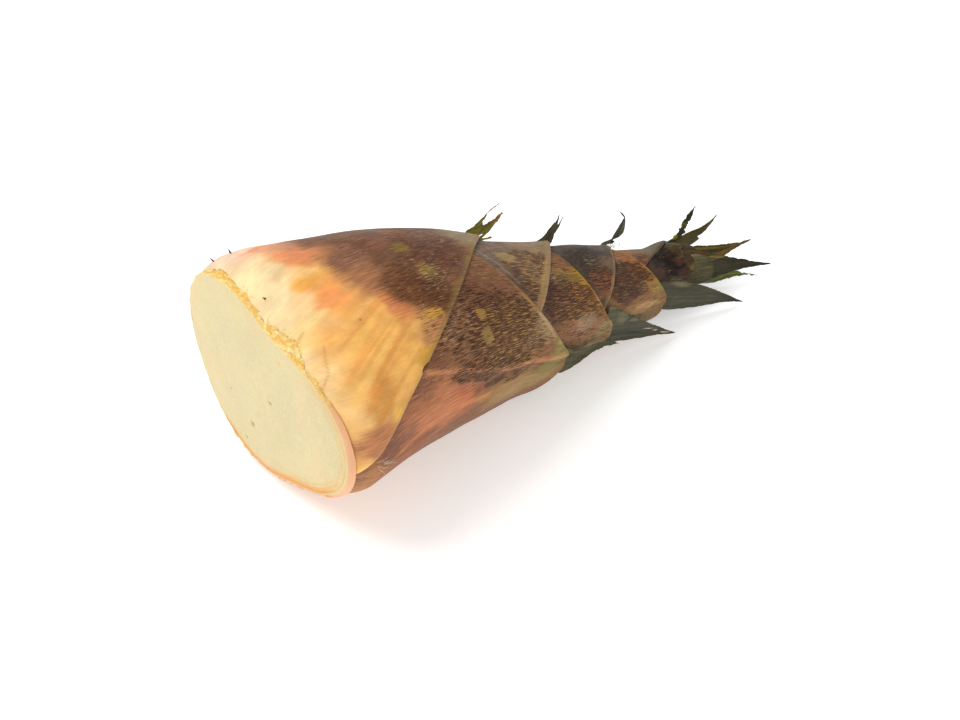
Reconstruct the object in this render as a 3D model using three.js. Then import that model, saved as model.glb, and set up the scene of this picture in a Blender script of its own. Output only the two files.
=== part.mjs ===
// A bamboo shoot lying on its side: a solid fleshy culm cut square at the base, wrapped in
// overlapping leaves. Each leaf is a culm sheath that ends in a small pointed blade.
// Millimetres. +X runs from the cut base to the tip, +Z is up, -Y is the front.
import * as THREE from 'three';

const { sin, cos, exp, max, min, hypot } = Math;

// Driving dimensions
const stationX = [0, 12, 30, 65, 100, 135, 170, 205, 240];      // distance from the cut
const stationR = [46, 51.2, 50.2, 46, 38.6, 31.4, 26, 19.8, 14.5]; // radius over all layers
const heightRatio = 0.87;     // height of the cross-section over its width
const shoulderLength = 35;    // how far the out-of-round base reaches
const layerStep = 1.3;        // from one leaf's outside to the next one's
const leafThickness = 0.7;
const restDepth = 1.0;        // how far the underside is pressed flat
const coreClearance = 0.45;

// Leaves, outermost first. tipTurn: where the tip points, degrees from the top towards the
// front. start and end: where the sheath begins and ends along the shoot. spread: how far it
// wraps round each way at the start, degrees; backSpread: the same, where the back margin
// differs. taper and blunt: how the margins close. blade: half width, length, then how it
// leans out, leans sideways and curls, degrees.
const leaves = [
  { tipTurn: -38, start: 0, end: 108, spread: 132, backSpread: 117, taper: 1.05, blunt: 0.7,
    blade: [4, 22, 27, 0, 12] },
  { tipTurn: 100, start: 0, end: 118, spread: 168, taper: 2.4, blunt: 1, blade: [6, 40, 3, 15, 0] },
  { tipTurn: -38, start: 0, end: 139, spread: 170, taper: 1.9, blunt: 0.85, blade: [4, 18, 27, 0, 12] },
  { tipTurn: 102, start: 50, end: 148, spread: 170, taper: 8, blunt: 1.6, blade: [8, 34, 9, 8, 0] },
  { tipTurn: -36, start: 75, end: 171, spread: 170, taper: 2.6, blunt: 1, blade: [3, 19, 42, 0, 12] },
  { tipTurn: 100, start: 100, end: 184, spread: 165, taper: 5, blunt: 1, blade: [7, 39, 19, 4, 0] },
  { tipTurn: -30, start: 125, end: 200, spread: 160, taper: 1, blunt: 1, blade: [1.6, 28, 34, 0, 12] },
  { tipTurn: 60, start: 150, end: 204, spread: 150, taper: 3, blunt: 0.9, blade: [6, 39, 15, 2, 0] },
  { tipTurn: -32, start: 165, end: 206, spread: 140, taper: 1.5, blunt: 0.9, blade: [4, 32, 27, 0, 0] },
  { tipTurn: -5, start: 175, end: 212, spread: 130, taper: 2, blunt: 0.9, blade: [4, 29, 16, 12, 0] },
  { tipTurn: 120, start: 180, end: 210, spread: 120, taper: 2, blunt: 0.9, blade: [2, 30, 22, -5, 0] },
];

const rad = THREE.MathUtils.degToRad;
const step01 = (x, a, b) => THREE.MathUtils.smoothstep(x, a, b);

// Cubic curve through the radius stations
function girth(x) {
  let i = 0;
  while (i < stationX.length - 2 && x > stationX[i + 1]) i++;
  const slope = (k) => {
    const a = max(k - 1, 0), b = min(k + 1, stationX.length - 1);
    return (stationR[b] - stationR[a]) / (stationX[b] - stationX[a]);
  };
  const h = stationX[i + 1] - stationX[i];
  const t = THREE.MathUtils.clamp((x - stationX[i]) / h, 0, 1);
  return (2 * t ** 3 - 3 * t ** 2 + 1) * stationR[i] + (t ** 3 - 2 * t ** 2 + t) * h * slope(i)
    + (3 * t ** 2 - 2 * t ** 3) * stationR[i + 1] + (t ** 3 - t ** 2) * h * slope(i + 1);
}

// Out-of-round factor of the cross-section; the cut base is wider than it is high
function outOfRound(x, turn) {
  const base = -0.18 * cos(2 * turn) - 0.08 * sin(2 * turn) - 0.05 * cos(3 * turn) - 0.08 * sin(3 * turn);
  return 1 + exp(-x / shoulderLength) * base + 0.05 * cos(2 * turn) + 0.04 * sin(2 * turn);
}

// Depth of the leaf that lies against the surface at station x
const bottomDepth = (x) =>
  layerStep * (1 + 2 * step01(x, 90, 112) + 2 * step01(x, 147, 167) + 2 * step01(x, 184, 204));

function centreHeight(x) {
  const s = max(x, 14);
  return heightRatio * (girth(s) * outOfRound(s, Math.PI) - bottomDepth(s)) - restDepth;
}

// A point of the wrapped body: station, turn about the shoot, depth below the outermost layer
function bodyPoint(x, turn, depth) {
  const r = girth(x) * outOfRound(x, turn) - depth;
  const floor = heightRatio * max(0, depth - bottomDepth(x));
  return new THREE.Vector3(x, -r * sin(turn), max(centreHeight(x) + heightRatio * r * cos(turn), floor));
}

const sideSpread = (leaf, away) => rad(away < 0 ? leaf.backSpread ?? leaf.spread : leaf.spread);

// How far along its sheath a margin reaches, 0 to 1, at a turn away from the tip
function marginReach(leaf, away, endSpread) {
  const s = min(0.93, max(0, (Math.abs(away) - endSpread) / (sideSpread(leaf, away) - endSpread)));
  return (1 - s ** (1 / leaf.blunt)) ** (1 / leaf.taper);
}

// Where a sheath tip sits and which way it faces
function tipFrame(leaf, depth) {
  const turn = rad(leaf.tipTurn);
  const tip = bodyPoint(leaf.end, turn, depth);
  const forward = tip.clone().sub(bodyPoint(leaf.end - 0.5, turn, depth)).normalize();
  const sideways = bodyPoint(leaf.end, turn + 0.01, depth).sub(tip);
  sideways.addScaledVector(forward, -sideways.dot(forward)).normalize();
  const outward = new THREE.Vector3().crossVectors(sideways, forward).normalize();
  const spoke = new THREE.Vector3(0, tip.y, tip.z - centreHeight(leaf.end));
  if (outward.dot(spoke) < 0) outward.negate();
  return { tip, forward, sideways, outward, radius: spoke.length() };
}

// One leaf as a closed sheet of cells. Columns run along the shoot and end on the slanting
// margins; the middle columns carry on past the sheath tip as the blade.
function leafGeometry(leaf, depth, sideColumns) {
  const { start, end } = leaf;
  const [halfWidth, length, leanOut, leanSide, curl] = leaf.blade;
  const { tip, forward, sideways, outward, radius } = tipFrame(leaf, depth);
  const endSpread = halfWidth / radius;
  const stations = stationsBetween(start, end);
  const sheathRows = stations.length - 1;
  const bladeRows = 6;
  const halfBlade = 2;
  const columns = 2 * (sideColumns + halfBlade);
  const offMiddle = (i) => i - columns / 2;

  function pointAt(i, j, inner) {
    const k = offMiddle(i);
    const inset = inner ? leafThickness : 0;
    if (j <= sheathRows) {
      const beyond = max(0, Math.abs(k) - halfBlade) / sideColumns;
      const away = Math.sign(k) * (min(Math.abs(k) / halfBlade, 1) * endSpread
        + beyond * (sideSpread(leaf, k) - endSpread));
      const x = start + (stations[j] - start) * marginReach(leaf, away, endSpread);
      return bodyPoint(x, rad(leaf.tipTurn) + away, depth + inset);
    }
    const t = (j - sheathRows) / bladeRows;
    const lean = rad(leanOut) + rad(curl) * t * 0.5;
    const side = rad(leanSide);
    const across = (k / halfBlade) * (halfWidth * (1 - t ** 1.6) * (1 + 0.5 * t) + 0.2);
    const sag = across ** 2 / (2 * radius) * (1 - 0.6 * t);
    return tip.clone()
      .addScaledVector(forward, cos(lean) * cos(side) * length * t)
      .addScaledVector(sideways, cos(lean) * sin(side) * length * t + across)
      .addScaledVector(outward, sin(lean) * length * t - sag - inset * (1 - 0.3 * t));
  }

  const hasCell = (i, j) => i >= 0 && i < columns && j >= 0
    && (j < sheathRows || (j < sheathRows + bladeRows && Math.abs(offMiddle(i + 0.5)) < halfBlade));
  const numbers = new Map();
  const positions = [];
  const index = [];
  const vertex = (i, j, inner) => {
    const key = `${i},${j},${inner}`;
    if (!numbers.has(key)) {
      numbers.set(key, positions.length / 3);
      positions.push(...pointAt(i, j, inner).toArray());
    }
    return numbers.get(key);
  };
  const quad = (a, b, c, d) => index.push(a, b, c, a, c, d);
  const wall = (i0, j0, i1, j1) =>
    quad(vertex(i0, j0, 0), vertex(i0, j0, 1), vertex(i1, j1, 1), vertex(i1, j1, 0));
  for (let j = 0; j < sheathRows + bladeRows; j++) {
    for (let i = 0; i < columns; i++) {
      if (!hasCell(i, j)) continue;
      quad(vertex(i, j, 0), vertex(i + 1, j, 0), vertex(i + 1, j + 1, 0), vertex(i, j + 1, 0));
      quad(vertex(i, j, 1), vertex(i, j + 1, 1), vertex(i + 1, j + 1, 1), vertex(i + 1, j, 1));
      if (!hasCell(i, j - 1)) wall(i, j, i + 1, j);
      if (!hasCell(i + 1, j)) wall(i + 1, j, i + 1, j + 1);
      if (!hasCell(i, j + 1)) wall(i + 1, j + 1, i, j + 1);
      if (!hasCell(i - 1, j)) wall(i, j + 1, i, j);
    }
  }
  const geometry = new THREE.BufferGeometry();
  geometry.setAttribute('position', new THREE.Float32BufferAttribute(positions, 3));
  geometry.setIndex(index);
  return faceOutward(geometry);
}

// Solid core: rings from the cut to the growing point
function culmGeometry(around) {
  const stations = stationsBetween(0, 214);
  const rings = stations.length - 1;
  const depthAt = (x) => {
    const steps = [[0, 3.6], [39, 3.6], [46, 5], [147, 10.3], [174, 14.4], [240, 14.6]];
    const k = steps.findIndex(([s]) => s >= x && s > 0);
    const [[x0, d0], [x1, d1]] = [steps[k - 1], steps[k]];
    return d0 + (d1 - d0) * (x - x0) / (x1 - x0) + coreClearance;
  };
  const core = new THREE.CylinderGeometry(1, 1, 1, around, rings, false);
  const p = core.getAttribute('position');
  for (let i = 0; i < p.count; i++) {
    const turn = Math.atan2(p.getX(i), p.getZ(i));
    const x = stations[Math.round((p.getY(i) + 0.5) * rings)];
    const close = 1 - 0.75 * step01(x, 190, 214);
    const rim = bodyPoint(x, turn, depthAt(x));
    const mid = new THREE.Vector3(x, 0, centreHeight(x));
    const q = mid.lerp(rim, hypot(p.getX(i), p.getZ(i)) < 0.5 ? 0 : close);
    p.setXYZ(i, q.x, q.y, q.z);
  }
  return faceOutward(core);
}

// Stations shared by every layer, so that nested layers keep their gap: start, those between, end
function stationsBetween(start, end) {
  const shared = [3, 7, 12, 18, 24, 30];
  for (let x = 42; x < 240; x += 12) shared.push(x);
  return [start, ...shared.filter((x) => x > start + 1.5 && x < end - 1.5), end];
}

// Turns the triangles round where the enclosed volume comes out negative
function faceOutward(geometry) {
  const p = geometry.getAttribute('position');
  const index = geometry.getIndex();
  const [a, b, c] = [new THREE.Vector3(), new THREE.Vector3(), new THREE.Vector3()];
  let volume = 0;
  for (let i = 0; i < index.count; i += 3) {
    a.fromBufferAttribute(p, index.getX(i));
    b.fromBufferAttribute(p, index.getX(i + 1));
    c.fromBufferAttribute(p, index.getX(i + 2));
    volume += a.dot(b.cross(c));
  }
  if (volume < 0) {
    for (let i = 0; i < index.count; i += 3) {
      const k = index.getX(i);
      index.setX(i, index.getX(i + 2));
      index.setX(i + 2, k);
    }
  }
  geometry.computeVertexNormals();
  return geometry;
}

const group = new THREE.Group();
function addPart(name, geometry, color, roughness) {
  const mesh = new THREE.Mesh(geometry, new THREE.MeshStandardMaterial({ color, roughness }));
  mesh.name = name;
  group.add(mesh);
}

addPart('culm', culmGeometry(40), 0xeee0ac, 0.6);
leaves.forEach((leaf, i) => {
  const sideColumns = [20, 20, 18, 15, 14, 12, 10, 8, 8, 7, 7][i];
  const color = i === 0 ? 0xe8a868 : i < 7 ? 0x8a6448 : 0x4a5038;
  const name = `leaf_${String(i + 1).padStart(2, '0')}`;
  addPart(name, leafGeometry(leaf, i * layerStep, sideColumns), color, 0.7);
});

// Origin under the middle of the shoot, on the resting surface
const bounds = new THREE.Box3().setFromObject(group);
const middle = bounds.getCenter(new THREE.Vector3());
group.children.forEach((mesh) => mesh.geometry.translate(-middle.x, -middle.y, -bounds.min.z));

export default group;
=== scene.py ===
# A bamboo shoot lying on its side: a cut fleshy base wrapped in overlapping sheaths, each
# ending in a small pointed blade. Shapes are worked out in millimetres along the shoot
# (x from the cut, turn in degrees from the top towards the front) and placed in metres.
import bpy
import math
import numpy as np
from mathutils import Matrix, Vector


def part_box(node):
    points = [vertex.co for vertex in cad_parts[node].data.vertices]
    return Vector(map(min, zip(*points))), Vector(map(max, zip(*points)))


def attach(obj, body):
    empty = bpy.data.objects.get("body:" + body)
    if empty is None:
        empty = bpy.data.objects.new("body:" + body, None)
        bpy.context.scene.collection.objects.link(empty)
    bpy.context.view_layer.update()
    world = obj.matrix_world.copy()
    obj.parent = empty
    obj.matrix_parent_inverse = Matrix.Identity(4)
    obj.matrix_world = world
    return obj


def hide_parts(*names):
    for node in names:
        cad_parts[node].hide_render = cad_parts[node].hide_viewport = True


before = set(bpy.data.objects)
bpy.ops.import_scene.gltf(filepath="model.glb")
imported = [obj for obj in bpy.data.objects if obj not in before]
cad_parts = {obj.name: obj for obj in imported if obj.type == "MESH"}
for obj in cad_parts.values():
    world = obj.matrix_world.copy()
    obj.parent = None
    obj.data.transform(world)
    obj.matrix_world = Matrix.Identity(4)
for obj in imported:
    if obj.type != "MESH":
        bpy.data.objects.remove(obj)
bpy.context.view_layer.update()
print("frame loaded")

shoot = {
    "stations": [0, 12, 30, 65, 100, 135, 170, 205, 240],
    "radii": [46, 51.2, 50.2, 46, 38.6, 31.4, 26, 19.8, 14.5],
    "heightRatio": 0.87,
    "baseWaves": [(2, -0.18, -0.08), (3, -0.05, -0.08)],     # waves round, their cosine and sine parts
    "bodyWaves": [(2, 0.05, 0.04)],
    "shoulder": 35,           # reach of the out-of-round base
    "layerStep": 1.3,
    "newLayers": [(90, 112), (147, 167), (184, 204)],        # where two more leaves come to lie underneath
    "levelBefore": 14,        # nearer the cut than this the axis is level
    "leafThickness": 0.7,
    "pressed": 1.0,           # how far the underside is flattened
    "flatBlend": 0.5,         # softness of the edge of the flat
}


def smoothBetween(low, high, x):
    # 3t^2 - 2t^3 with t running from 0 at low to 1 at high
    t = np.clip((x - low) / (high - low), 0, 1)
    return t * t * (3 - 2 * t)


def curveThrough(x, stations, values):
    # cubic through the stations; the slope at one is the rise over the run between its neighbours
    xs, ys = np.asarray(stations, float), np.asarray(values, float)
    last = len(xs) - 1
    before = np.maximum(np.arange(last + 1) - 1, 0)
    after = np.minimum(np.arange(last + 1) + 1, last)
    slopes = (ys[after] - ys[before]) / (xs[after] - xs[before])
    i = np.clip(np.searchsorted(xs, x, side="right") - 1, 0, last - 1)
    h = xs[i + 1] - xs[i]
    t = np.clip((x - xs[i]) / h, 0, 1)
    return ((2 * t**3 - 3 * t**2 + 1) * ys[i] + (t**3 - 2 * t**2 + t) * h * slopes[i]
            + (3 * t**2 - 2 * t**3) * ys[i + 1] + (t**3 - t**2) * h * slopes[i + 1])


def girth(x):
    # radius at x before it is out of round: the smooth curve through the stations
    return curveThrough(x, shoot["stations"], shoot["radii"])


def wavesRound(turn, waves):
    # a cos(k turn) + b sin(k turn), added up over the rows (k, a, b)
    return sum(a * np.cos(k * turn) + b * np.sin(k * turn) for k, a, b in waves)


def outOfRound(x, turn):
    # 1 + the body's waves + the base's waves, which die away along the shoot
    base = np.exp(-x / shoot["shoulder"]) * wavesRound(turn, shoot["baseWaves"])
    return 1 + base + wavesRound(turn, shoot["bodyWaves"])


def bottomDepth(x):
    # depth of the leaf that lies against the floor: two leaves more after each step
    return shoot["layerStep"] * (1 + 2 * sum(smoothBetween(low, high, x) for low, high in shoot["newLayers"]))


def centreHeight(x):
    # height ratio * the radius straight down, less what is pressed flat
    s = np.maximum(x, shoot["levelBefore"])
    lowest = girth(s) * outOfRound(s, math.pi) - bottomDepth(s)
    return shoot["heightRatio"] * lowest - shoot["pressed"]


def bodyPoint(x, turn, depth):
    # (x, -r sin turn, centre + ratio r cos turn), r = girth * outOfRound - depth, eased flat at the floor
    x, turn, depth = np.broadcast_arrays(x, turn, depth)
    r = girth(x) * outOfRound(x, turn) - depth
    free = centreHeight(x) + shoot["heightRatio"] * r * np.cos(turn)
    floor = shoot["heightRatio"] * np.maximum(0, depth - bottomDepth(x))
    gap = free - floor
    z = floor + 0.5 * (gap + np.sqrt(gap**2 + shoot["flatBlend"]**2)) - 0.25 * shoot["flatBlend"]
    return np.stack([x, -r * np.sin(turn), np.maximum(z, 0.0)], -1)


def cloud(a, b, seed):
    # value noise from -1 to 1: random heights on a lattice, blended smoothly between the nearest four
    size = 89
    heights = np.random.default_rng(seed).random((size, size)) * 2 - 1
    i, j = np.floor(a).astype(int), np.floor(b).astype(int)
    s, t = smoothBetween(0, 1, a - i), smoothBetween(0, 1, b - j)
    i, j = i % size, j % size
    i2, j2 = (i + 1) % size, (j + 1) % size
    near = heights[i, j] * (1 - s) + heights[i2, j] * s
    far = heights[i, j2] * (1 - s) + heights[i2, j2] * s
    return near * (1 - t) + far * t


def layeredCloud(a, b, seed, layers=4):
    # clouds added up, each half the size and half the height of the one before
    total = 0
    for k in range(layers):
        total = total + cloud(a * 2**k + 7.3 * k, b * 2**k + 3.1 * k, seed + k) / 2**k
    return total


def distanceToPath(x, turn, path):
    # squared distance in mm from a path of [x, turn], measured on the unrolled skin
    best = np.full(np.shape(x), 1e9)
    for (xa, ta), (xb, tb) in zip(path[:-1], path[1:]):
        r = girth((xa + xb) / 2) * math.pi / 180
        dx, dt = xb - xa, (tb - ta) * r
        px, pt = x - xa, (turn - ta) * r
        s = np.clip((px * dx + pt * dt) / (dx * dx + dt * dt), 0, 1)
        best = np.minimum(best, (px - s * dx) ** 2 + (pt - s * dt) ** 2)
    return best


def ovalDistance(a, b, oval):
    # 0 in the middle of an oval [middle a, middle b, half a, half b] and 1 on its outline
    return np.sqrt(((a - oval[0]) / oval[2]) ** 2 + ((b - oval[1]) / oval[3]) ** 2)


def linearColour(colour):
    # display values from 0 to 255 as linear light
    c = np.asarray(colour, float) / 255
    return np.where(c <= 0.04045, c / 12.92, ((c + 0.055) / 1.055) ** 2.4)


def withAlpha(colour):
    # held between 0 and 1, with a fourth value of 1
    clipped = np.clip(colour, 0, 1)
    return np.concatenate([clipped, np.ones(clipped.shape[:-1] + (1,))], -1)


def tinted(colour, share, rgb):
    # colour + share * (the other colour - colour)
    return colour + np.asarray(share)[..., None] * (linearColour(rgb) - colour)


def paintPatches(colour, a, b, patches):
    # each oval patch pulls the colour to its own, fully inside 0.5 and fading out to 1.3 of its half sizes
    for *oval, rgb, strength in patches:
        colour = tinted(colour, strength * (1 - smoothBetween(0.5, 1.3, ovalDistance(a, b, oval))), rgb)
    return colour


core = {
    "x": [0, 39, 46, 147, 174, 240],
    "depth": [4.05, 4.05, 5.45, 10.75, 14.85, 15.05],        # of the core's surface under the leaves
    "widestX": 12.0,
}
# the CAD model stands the shoot's middle on the origin, so the shift is read from the core's box
coreLow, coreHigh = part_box("culm")
coreSides = bodyPoint(core["widestX"], np.radians(np.arange(0, 360, 3.0)), core["depth"][0])[:, 1]
sideShift = (coreLow[1] + coreHigh[1]) * 500 - (coreSides.min() + coreSides.max()) / 2
rowShift = np.array([coreLow[0] * 1000, sideShift, 0.0])
print("row shift, mm:", rowShift.round(2))


def makePiece(name, points, faces, nodes, material, fields):
    # points in shoot millimetres; faces are turned round together where the enclosed volume is negative
    pts = np.asarray(points, float).reshape(-1, 3)
    fan = np.array([[f[0], f[k], f[k + 1]] for f in faces for k in range(1, len(f) - 1)])
    a, b, c = pts[fan[:, 0]], pts[fan[:, 1]], pts[fan[:, 2]]
    volume = np.einsum("ij,ij->i", a, np.cross(b, c)).sum()
    if volume < 0:
        faces = [tuple(reversed(f)) for f in faces]
    mesh = bpy.data.meshes.new(name)
    mesh.from_pydata(((pts + rowShift) * 0.001).tolist(), [], faces)
    mesh.polygons.foreach_set("use_smooth", np.ones(len(mesh.polygons), bool))
    for key, values in fields.items():
        values = np.asarray(values, float).reshape(len(pts), -1)
        kind, socket = {1: ("FLOAT", "value"), 3: ("FLOAT_VECTOR", "vector"),
                        4: ("FLOAT_COLOR", "color")}[values.shape[1]]
        layer = mesh.attributes.new(key, kind, "POINT")
        layer.data.foreach_set(socket, values.ravel().astype(np.float32))
    mesh.materials.append(material)
    mesh.update()
    piece = bpy.data.objects.new(name, mesh)
    bpy.context.collection.objects.link(piece)
    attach(piece, "root")
    if nodes:
        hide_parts(*nodes)
    print(name, "-", len(fan), "triangles")


def ringQuads(rows, n):
    # quads between neighbouring closed rows of n points
    i, j = np.meshgrid(np.arange(rows - 1), np.arange(n), indexing="ij")
    k = (j + 1) % n
    return np.stack([i * n + j, i * n + k, (i + 1) * n + k, (i + 1) * n + j], -1).reshape(-1, 4)


def loopAcross(cells, ratio):
    # one closed row of a sheet: across from -1 to 1 on the outside, then back more coarsely inside
    outer = np.linspace(-1, 1, cells * ratio + 1)
    inner = np.linspace(1, -1, cells + 1)
    return np.concatenate([outer, inner]), np.concatenate([0 * outer, 0 * inner + 1])


def sheetFaces(rows, cells, ratio):
    # quads between neighbouring rows, and at both ends a strip of caps between outside and inside
    outer, inner = cells * ratio + 1, cells + 1
    n = outer + inner
    faces = ringQuads(rows, n).tolist()
    for row, flip in ((0, True), (rows - 1, False)):
        for c in range(cells):
            out = [row * n + c * ratio + m for m in range(ratio + 1)]
            back = [row * n + outer + cells - c - 1, row * n + outer + cells - c]
            faces.append(list(reversed(out + back)) if flip else out + back)
    return faces


def newMaterial(name):
    # a node material, its tree and its shader
    material = bpy.data.materials.new(name)
    material.use_nodes = True
    return material, material.node_tree, material.node_tree.nodes["Principled BSDF"]


def setSockets(node, values):
    # fixed values straight onto the sockets
    for socketName, value in values.items():
        node.inputs[socketName].default_value = value


def attribute(tree, name, x, y):
    # reads a value that is stored on the mesh; x and y place the node in the editor
    node = tree.nodes.new("ShaderNodeAttribute")
    node.attribute_name = name
    node.location = (x, y)
    return node


def noiseNode(tree, vector, scale, detail, rough, distortion, x, y):
    # plain noise on a vector
    noise = tree.nodes.new("ShaderNodeTexNoise")
    setSockets(noise, {"Scale": scale, "Detail": detail, "Roughness": rough, "Distortion": distortion})
    noise.location = (x, y)
    tree.links.new(vector, noise.inputs["Vector"])
    return noise.outputs["Fac"]


def grainNoise(tree, grain, spot, x, y):
    # noise stretched along the veins: the grain vector divided by the width and length of a spot
    wide, long, detail, rough, distortion = spot
    mapping = tree.nodes.new("ShaderNodeMapping")
    mapping.inputs["Scale"].default_value = (1 / wide, 1 / long, 1)
    mapping.location = (x, y)
    tree.links.new(grain.outputs["Vector"], mapping.inputs["Vector"])
    return noiseNode(tree, mapping.outputs["Vector"], 1, detail, rough, distortion, x + 180, y)


def remap(tree, value, span, x, y):
    # span = from low, from high, to low, to high, eased at both ends
    node = tree.nodes.new("ShaderNodeMapRange")
    node.interpolation_type = "SMOOTHSTEP"
    setSockets(node, dict(zip(("From Min", "From Max", "To Min", "To Max"), span)))
    node.location = (x, y)
    tree.links.new(value, node.inputs["Value"])
    return node.outputs["Result"]


def calc(tree, kind, a, b, x, y):
    # one step of arithmetic; a and b are sockets or numbers
    node = tree.nodes.new("ShaderNodeMath")
    node.operation = kind
    node.location = (x, y)
    for socket, value in zip(node.inputs, (a, b)):
        if isinstance(value, (int, float)):
            socket.default_value = value
        else:
            tree.links.new(value, socket)
    return node.outputs["Value"]


def mixColour(tree, share, a, b, x, y):
    # a where share is 0 and b where it is 1; b may be a fixed colour
    node = tree.nodes.new("ShaderNodeMix")
    node.data_type = "RGBA"
    node.location = (x, y)
    socketA, socketB = [s for s in node.inputs if s.type == "RGBA"]
    tree.links.new(share, node.inputs[0])
    tree.links.new(a, socketA)
    if isinstance(b, tuple):
        socketB.default_value = b
    else:
        tree.links.new(b, socketB)
    return [s for s in node.outputs if s.type == "RGBA"][0]


def scaleColour(tree, colour, factor, x, y):
    # colour times a number
    node = tree.nodes.new("ShaderNodeVectorMath")
    node.operation = "SCALE"
    node.location = (x, y)
    tree.links.new(colour, node.inputs[0])
    tree.links.new(factor, node.inputs["Scale"])
    return node.outputs["Vector"]


def addBump(tree, shader, height, bump, x, y):
    # bump = strength, depth in metres
    node = tree.nodes.new("ShaderNodeBump")
    setSockets(node, {"Strength": bump[0], "Distance": bump[1]})
    node.location = (x, y)
    tree.links.new(height, node.inputs["Height"])
    tree.links.new(node.outputs["Normal"], shader.inputs["Normal"])


# in the looks below a spot of noise is (width mm, length mm, detail, roughness, distortion)
# and a span is (from low, from high, to low, to high)
sheathLook = {
    "dash": (0.32, 4.4, 3, 0.55, 0.12), "dashSpan": (0.96, 1.03, 0, 0.88), "dashHeight": -0.22,
    "hair": (0.24, 3.4, 2, 0.6, 0.15), "hairSpan": (0.96, 1.04, 0, 0.8), "hairHeight": 0.5,
    "hairColour": (0.47, 0.31, 0.16, 1),
    "fibre": (0.30, 9.0, 2, 0.6, 0), "fibreSpan": (0.32, 0.68, -0.32, 0.26), "fibreHeight": 0.7,
    "mottle": (5.0, 9.0, 4, 0.6, 0), "mottleSpan": (0.3, 0.7, 0.88, 1.1),
    "roughness": (0.3, 0.7, 0.42, 0.62), "specular": 0.17, "bump": (0.55, 0.00035),
}


def sheathMaterial(look):
    # ground colour with dark dashes where "cover" is high, pale hairs where "fleck" is high,
    # fine fibres where the skin is "grainy" and soft mottling
    material, tree, shader = newMaterial("sheathSkin")
    ground, mark = attribute(tree, "ground", -1500, 400), attribute(tree, "mark", -1500, 200)
    cover, fleck = attribute(tree, "cover", -1500, 0), attribute(tree, "fleck", -1500, -200)
    grain, grainy = attribute(tree, "grain", -1500, -400), attribute(tree, "grainy", -1500, -600)
    dashNoise = grainNoise(tree, grain, look["dash"], -1250, 300)
    fibreNoise = grainNoise(tree, grain, look["fibre"], -1250, 50)
    mottleNoise = grainNoise(tree, grain, look["mottle"], -1250, -200)
    hairNoise = grainNoise(tree, grain, look["hair"], -1250, -450)
    dash = calc(tree, "ADD", dashNoise, cover.outputs["Fac"], -850, 300)
    dash = remap(tree, dash, look["dashSpan"], -650, 300)
    pale = calc(tree, "ADD", hairNoise, fleck.outputs["Fac"], -850, -450)
    pale = remap(tree, pale, look["hairSpan"], -650, -450)
    fibre = remap(tree, fibreNoise, look["fibreSpan"], -650, 50)
    fibre = calc(tree, "ADD", calc(tree, "MULTIPLY", fibre, grainy.outputs["Fac"], -500, 50), 1.0, -450, 50)
    mottle = remap(tree, mottleNoise, look["mottleSpan"], -650, -200)
    colour = mixColour(tree, dash, ground.outputs["Color"], mark.outputs["Color"], -400, 300)
    colour = mixColour(tree, pale, colour, look["hairColour"], -200, 300)
    colour = scaleColour(tree, colour, calc(tree, "MULTIPLY", fibre, mottle, -400, 0), 0, 300)
    tree.links.new(colour, shader.inputs["Base Color"])
    tree.links.new(remap(tree, mottleNoise, look["roughness"], -200, 0), shader.inputs["Roughness"])
    setSockets(shader, {"Specular IOR Level": look["specular"]})
    height = calc(tree, "ADD", calc(tree, "MULTIPLY", fibreNoise, look["fibreHeight"], -400, -250),
                  calc(tree, "MULTIPLY", dash, look["dashHeight"], -400, -400), -200, -250)
    hairs = calc(tree, "MULTIPLY", hairNoise, look["hairHeight"], -200, -450)
    addBump(tree, shader, calc(tree, "ADD", height, hairs, 0, -250), look["bump"], 100, -150)
    return material


bladeLook = {
    "vein": (0.26, 30.0, 2, 0.55, 0), "veinSpan": (0.35, 0.66, 0.72, 1.3),
    "broad": (1.1, 45.0, 1, 0.5, 0), "broadSpan": (0.35, 0.65, 0.86, 1.15), "broadHeight": 1.2,
    "mottle": (2.2, 4.5, 4, 0.65, 0), "mottleSpan": (0.3, 0.7, 0.8, 1.2),
    "roughness": (0.3, 0.7, 0.36, 0.56), "specular": 0.18, "sheen": 0.01, "sheenRoughness": 0.4,
    "bump": (0.6, 0.0003),
}


def bladeMaterial(look):
    # thin green blade: fine parallel veins, some pale, over the painted colour, and a waxy bloom
    material, tree, shader = newMaterial("bladeSkin")
    ground, grain = attribute(tree, "ground", -1300, 300), attribute(tree, "grain", -1300, -100)
    vein = grainNoise(tree, grain, look["vein"], -1050, 200)
    broad = grainNoise(tree, grain, look["broad"], -1050, -50)
    mottle = grainNoise(tree, grain, look["mottle"], -1050, -300)
    tone = calc(tree, "MULTIPLY", remap(tree, vein, look["veinSpan"], -650, 200),
                remap(tree, mottle, look["mottleSpan"], -650, -300), -450, 100)
    tone = calc(tree, "MULTIPLY", tone, remap(tree, broad, look["broadSpan"], -650, -50), -300, 100)
    tree.links.new(scaleColour(tree, ground.outputs["Color"], tone, -100, 300), shader.inputs["Base Color"])
    tree.links.new(remap(tree, mottle, look["roughness"], -300, -250), shader.inputs["Roughness"])
    setSockets(shader, {"Specular IOR Level": look["specular"], "Sheen Weight": look["sheen"],
                        "Sheen Roughness": look["sheenRoughness"]})
    height = calc(tree, "ADD", vein, calc(tree, "MULTIPLY", broad, look["broadHeight"], -450, -100), -300, -100)
    addBump(tree, shader, height, look["bump"], -100, -150)
    return material


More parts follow.
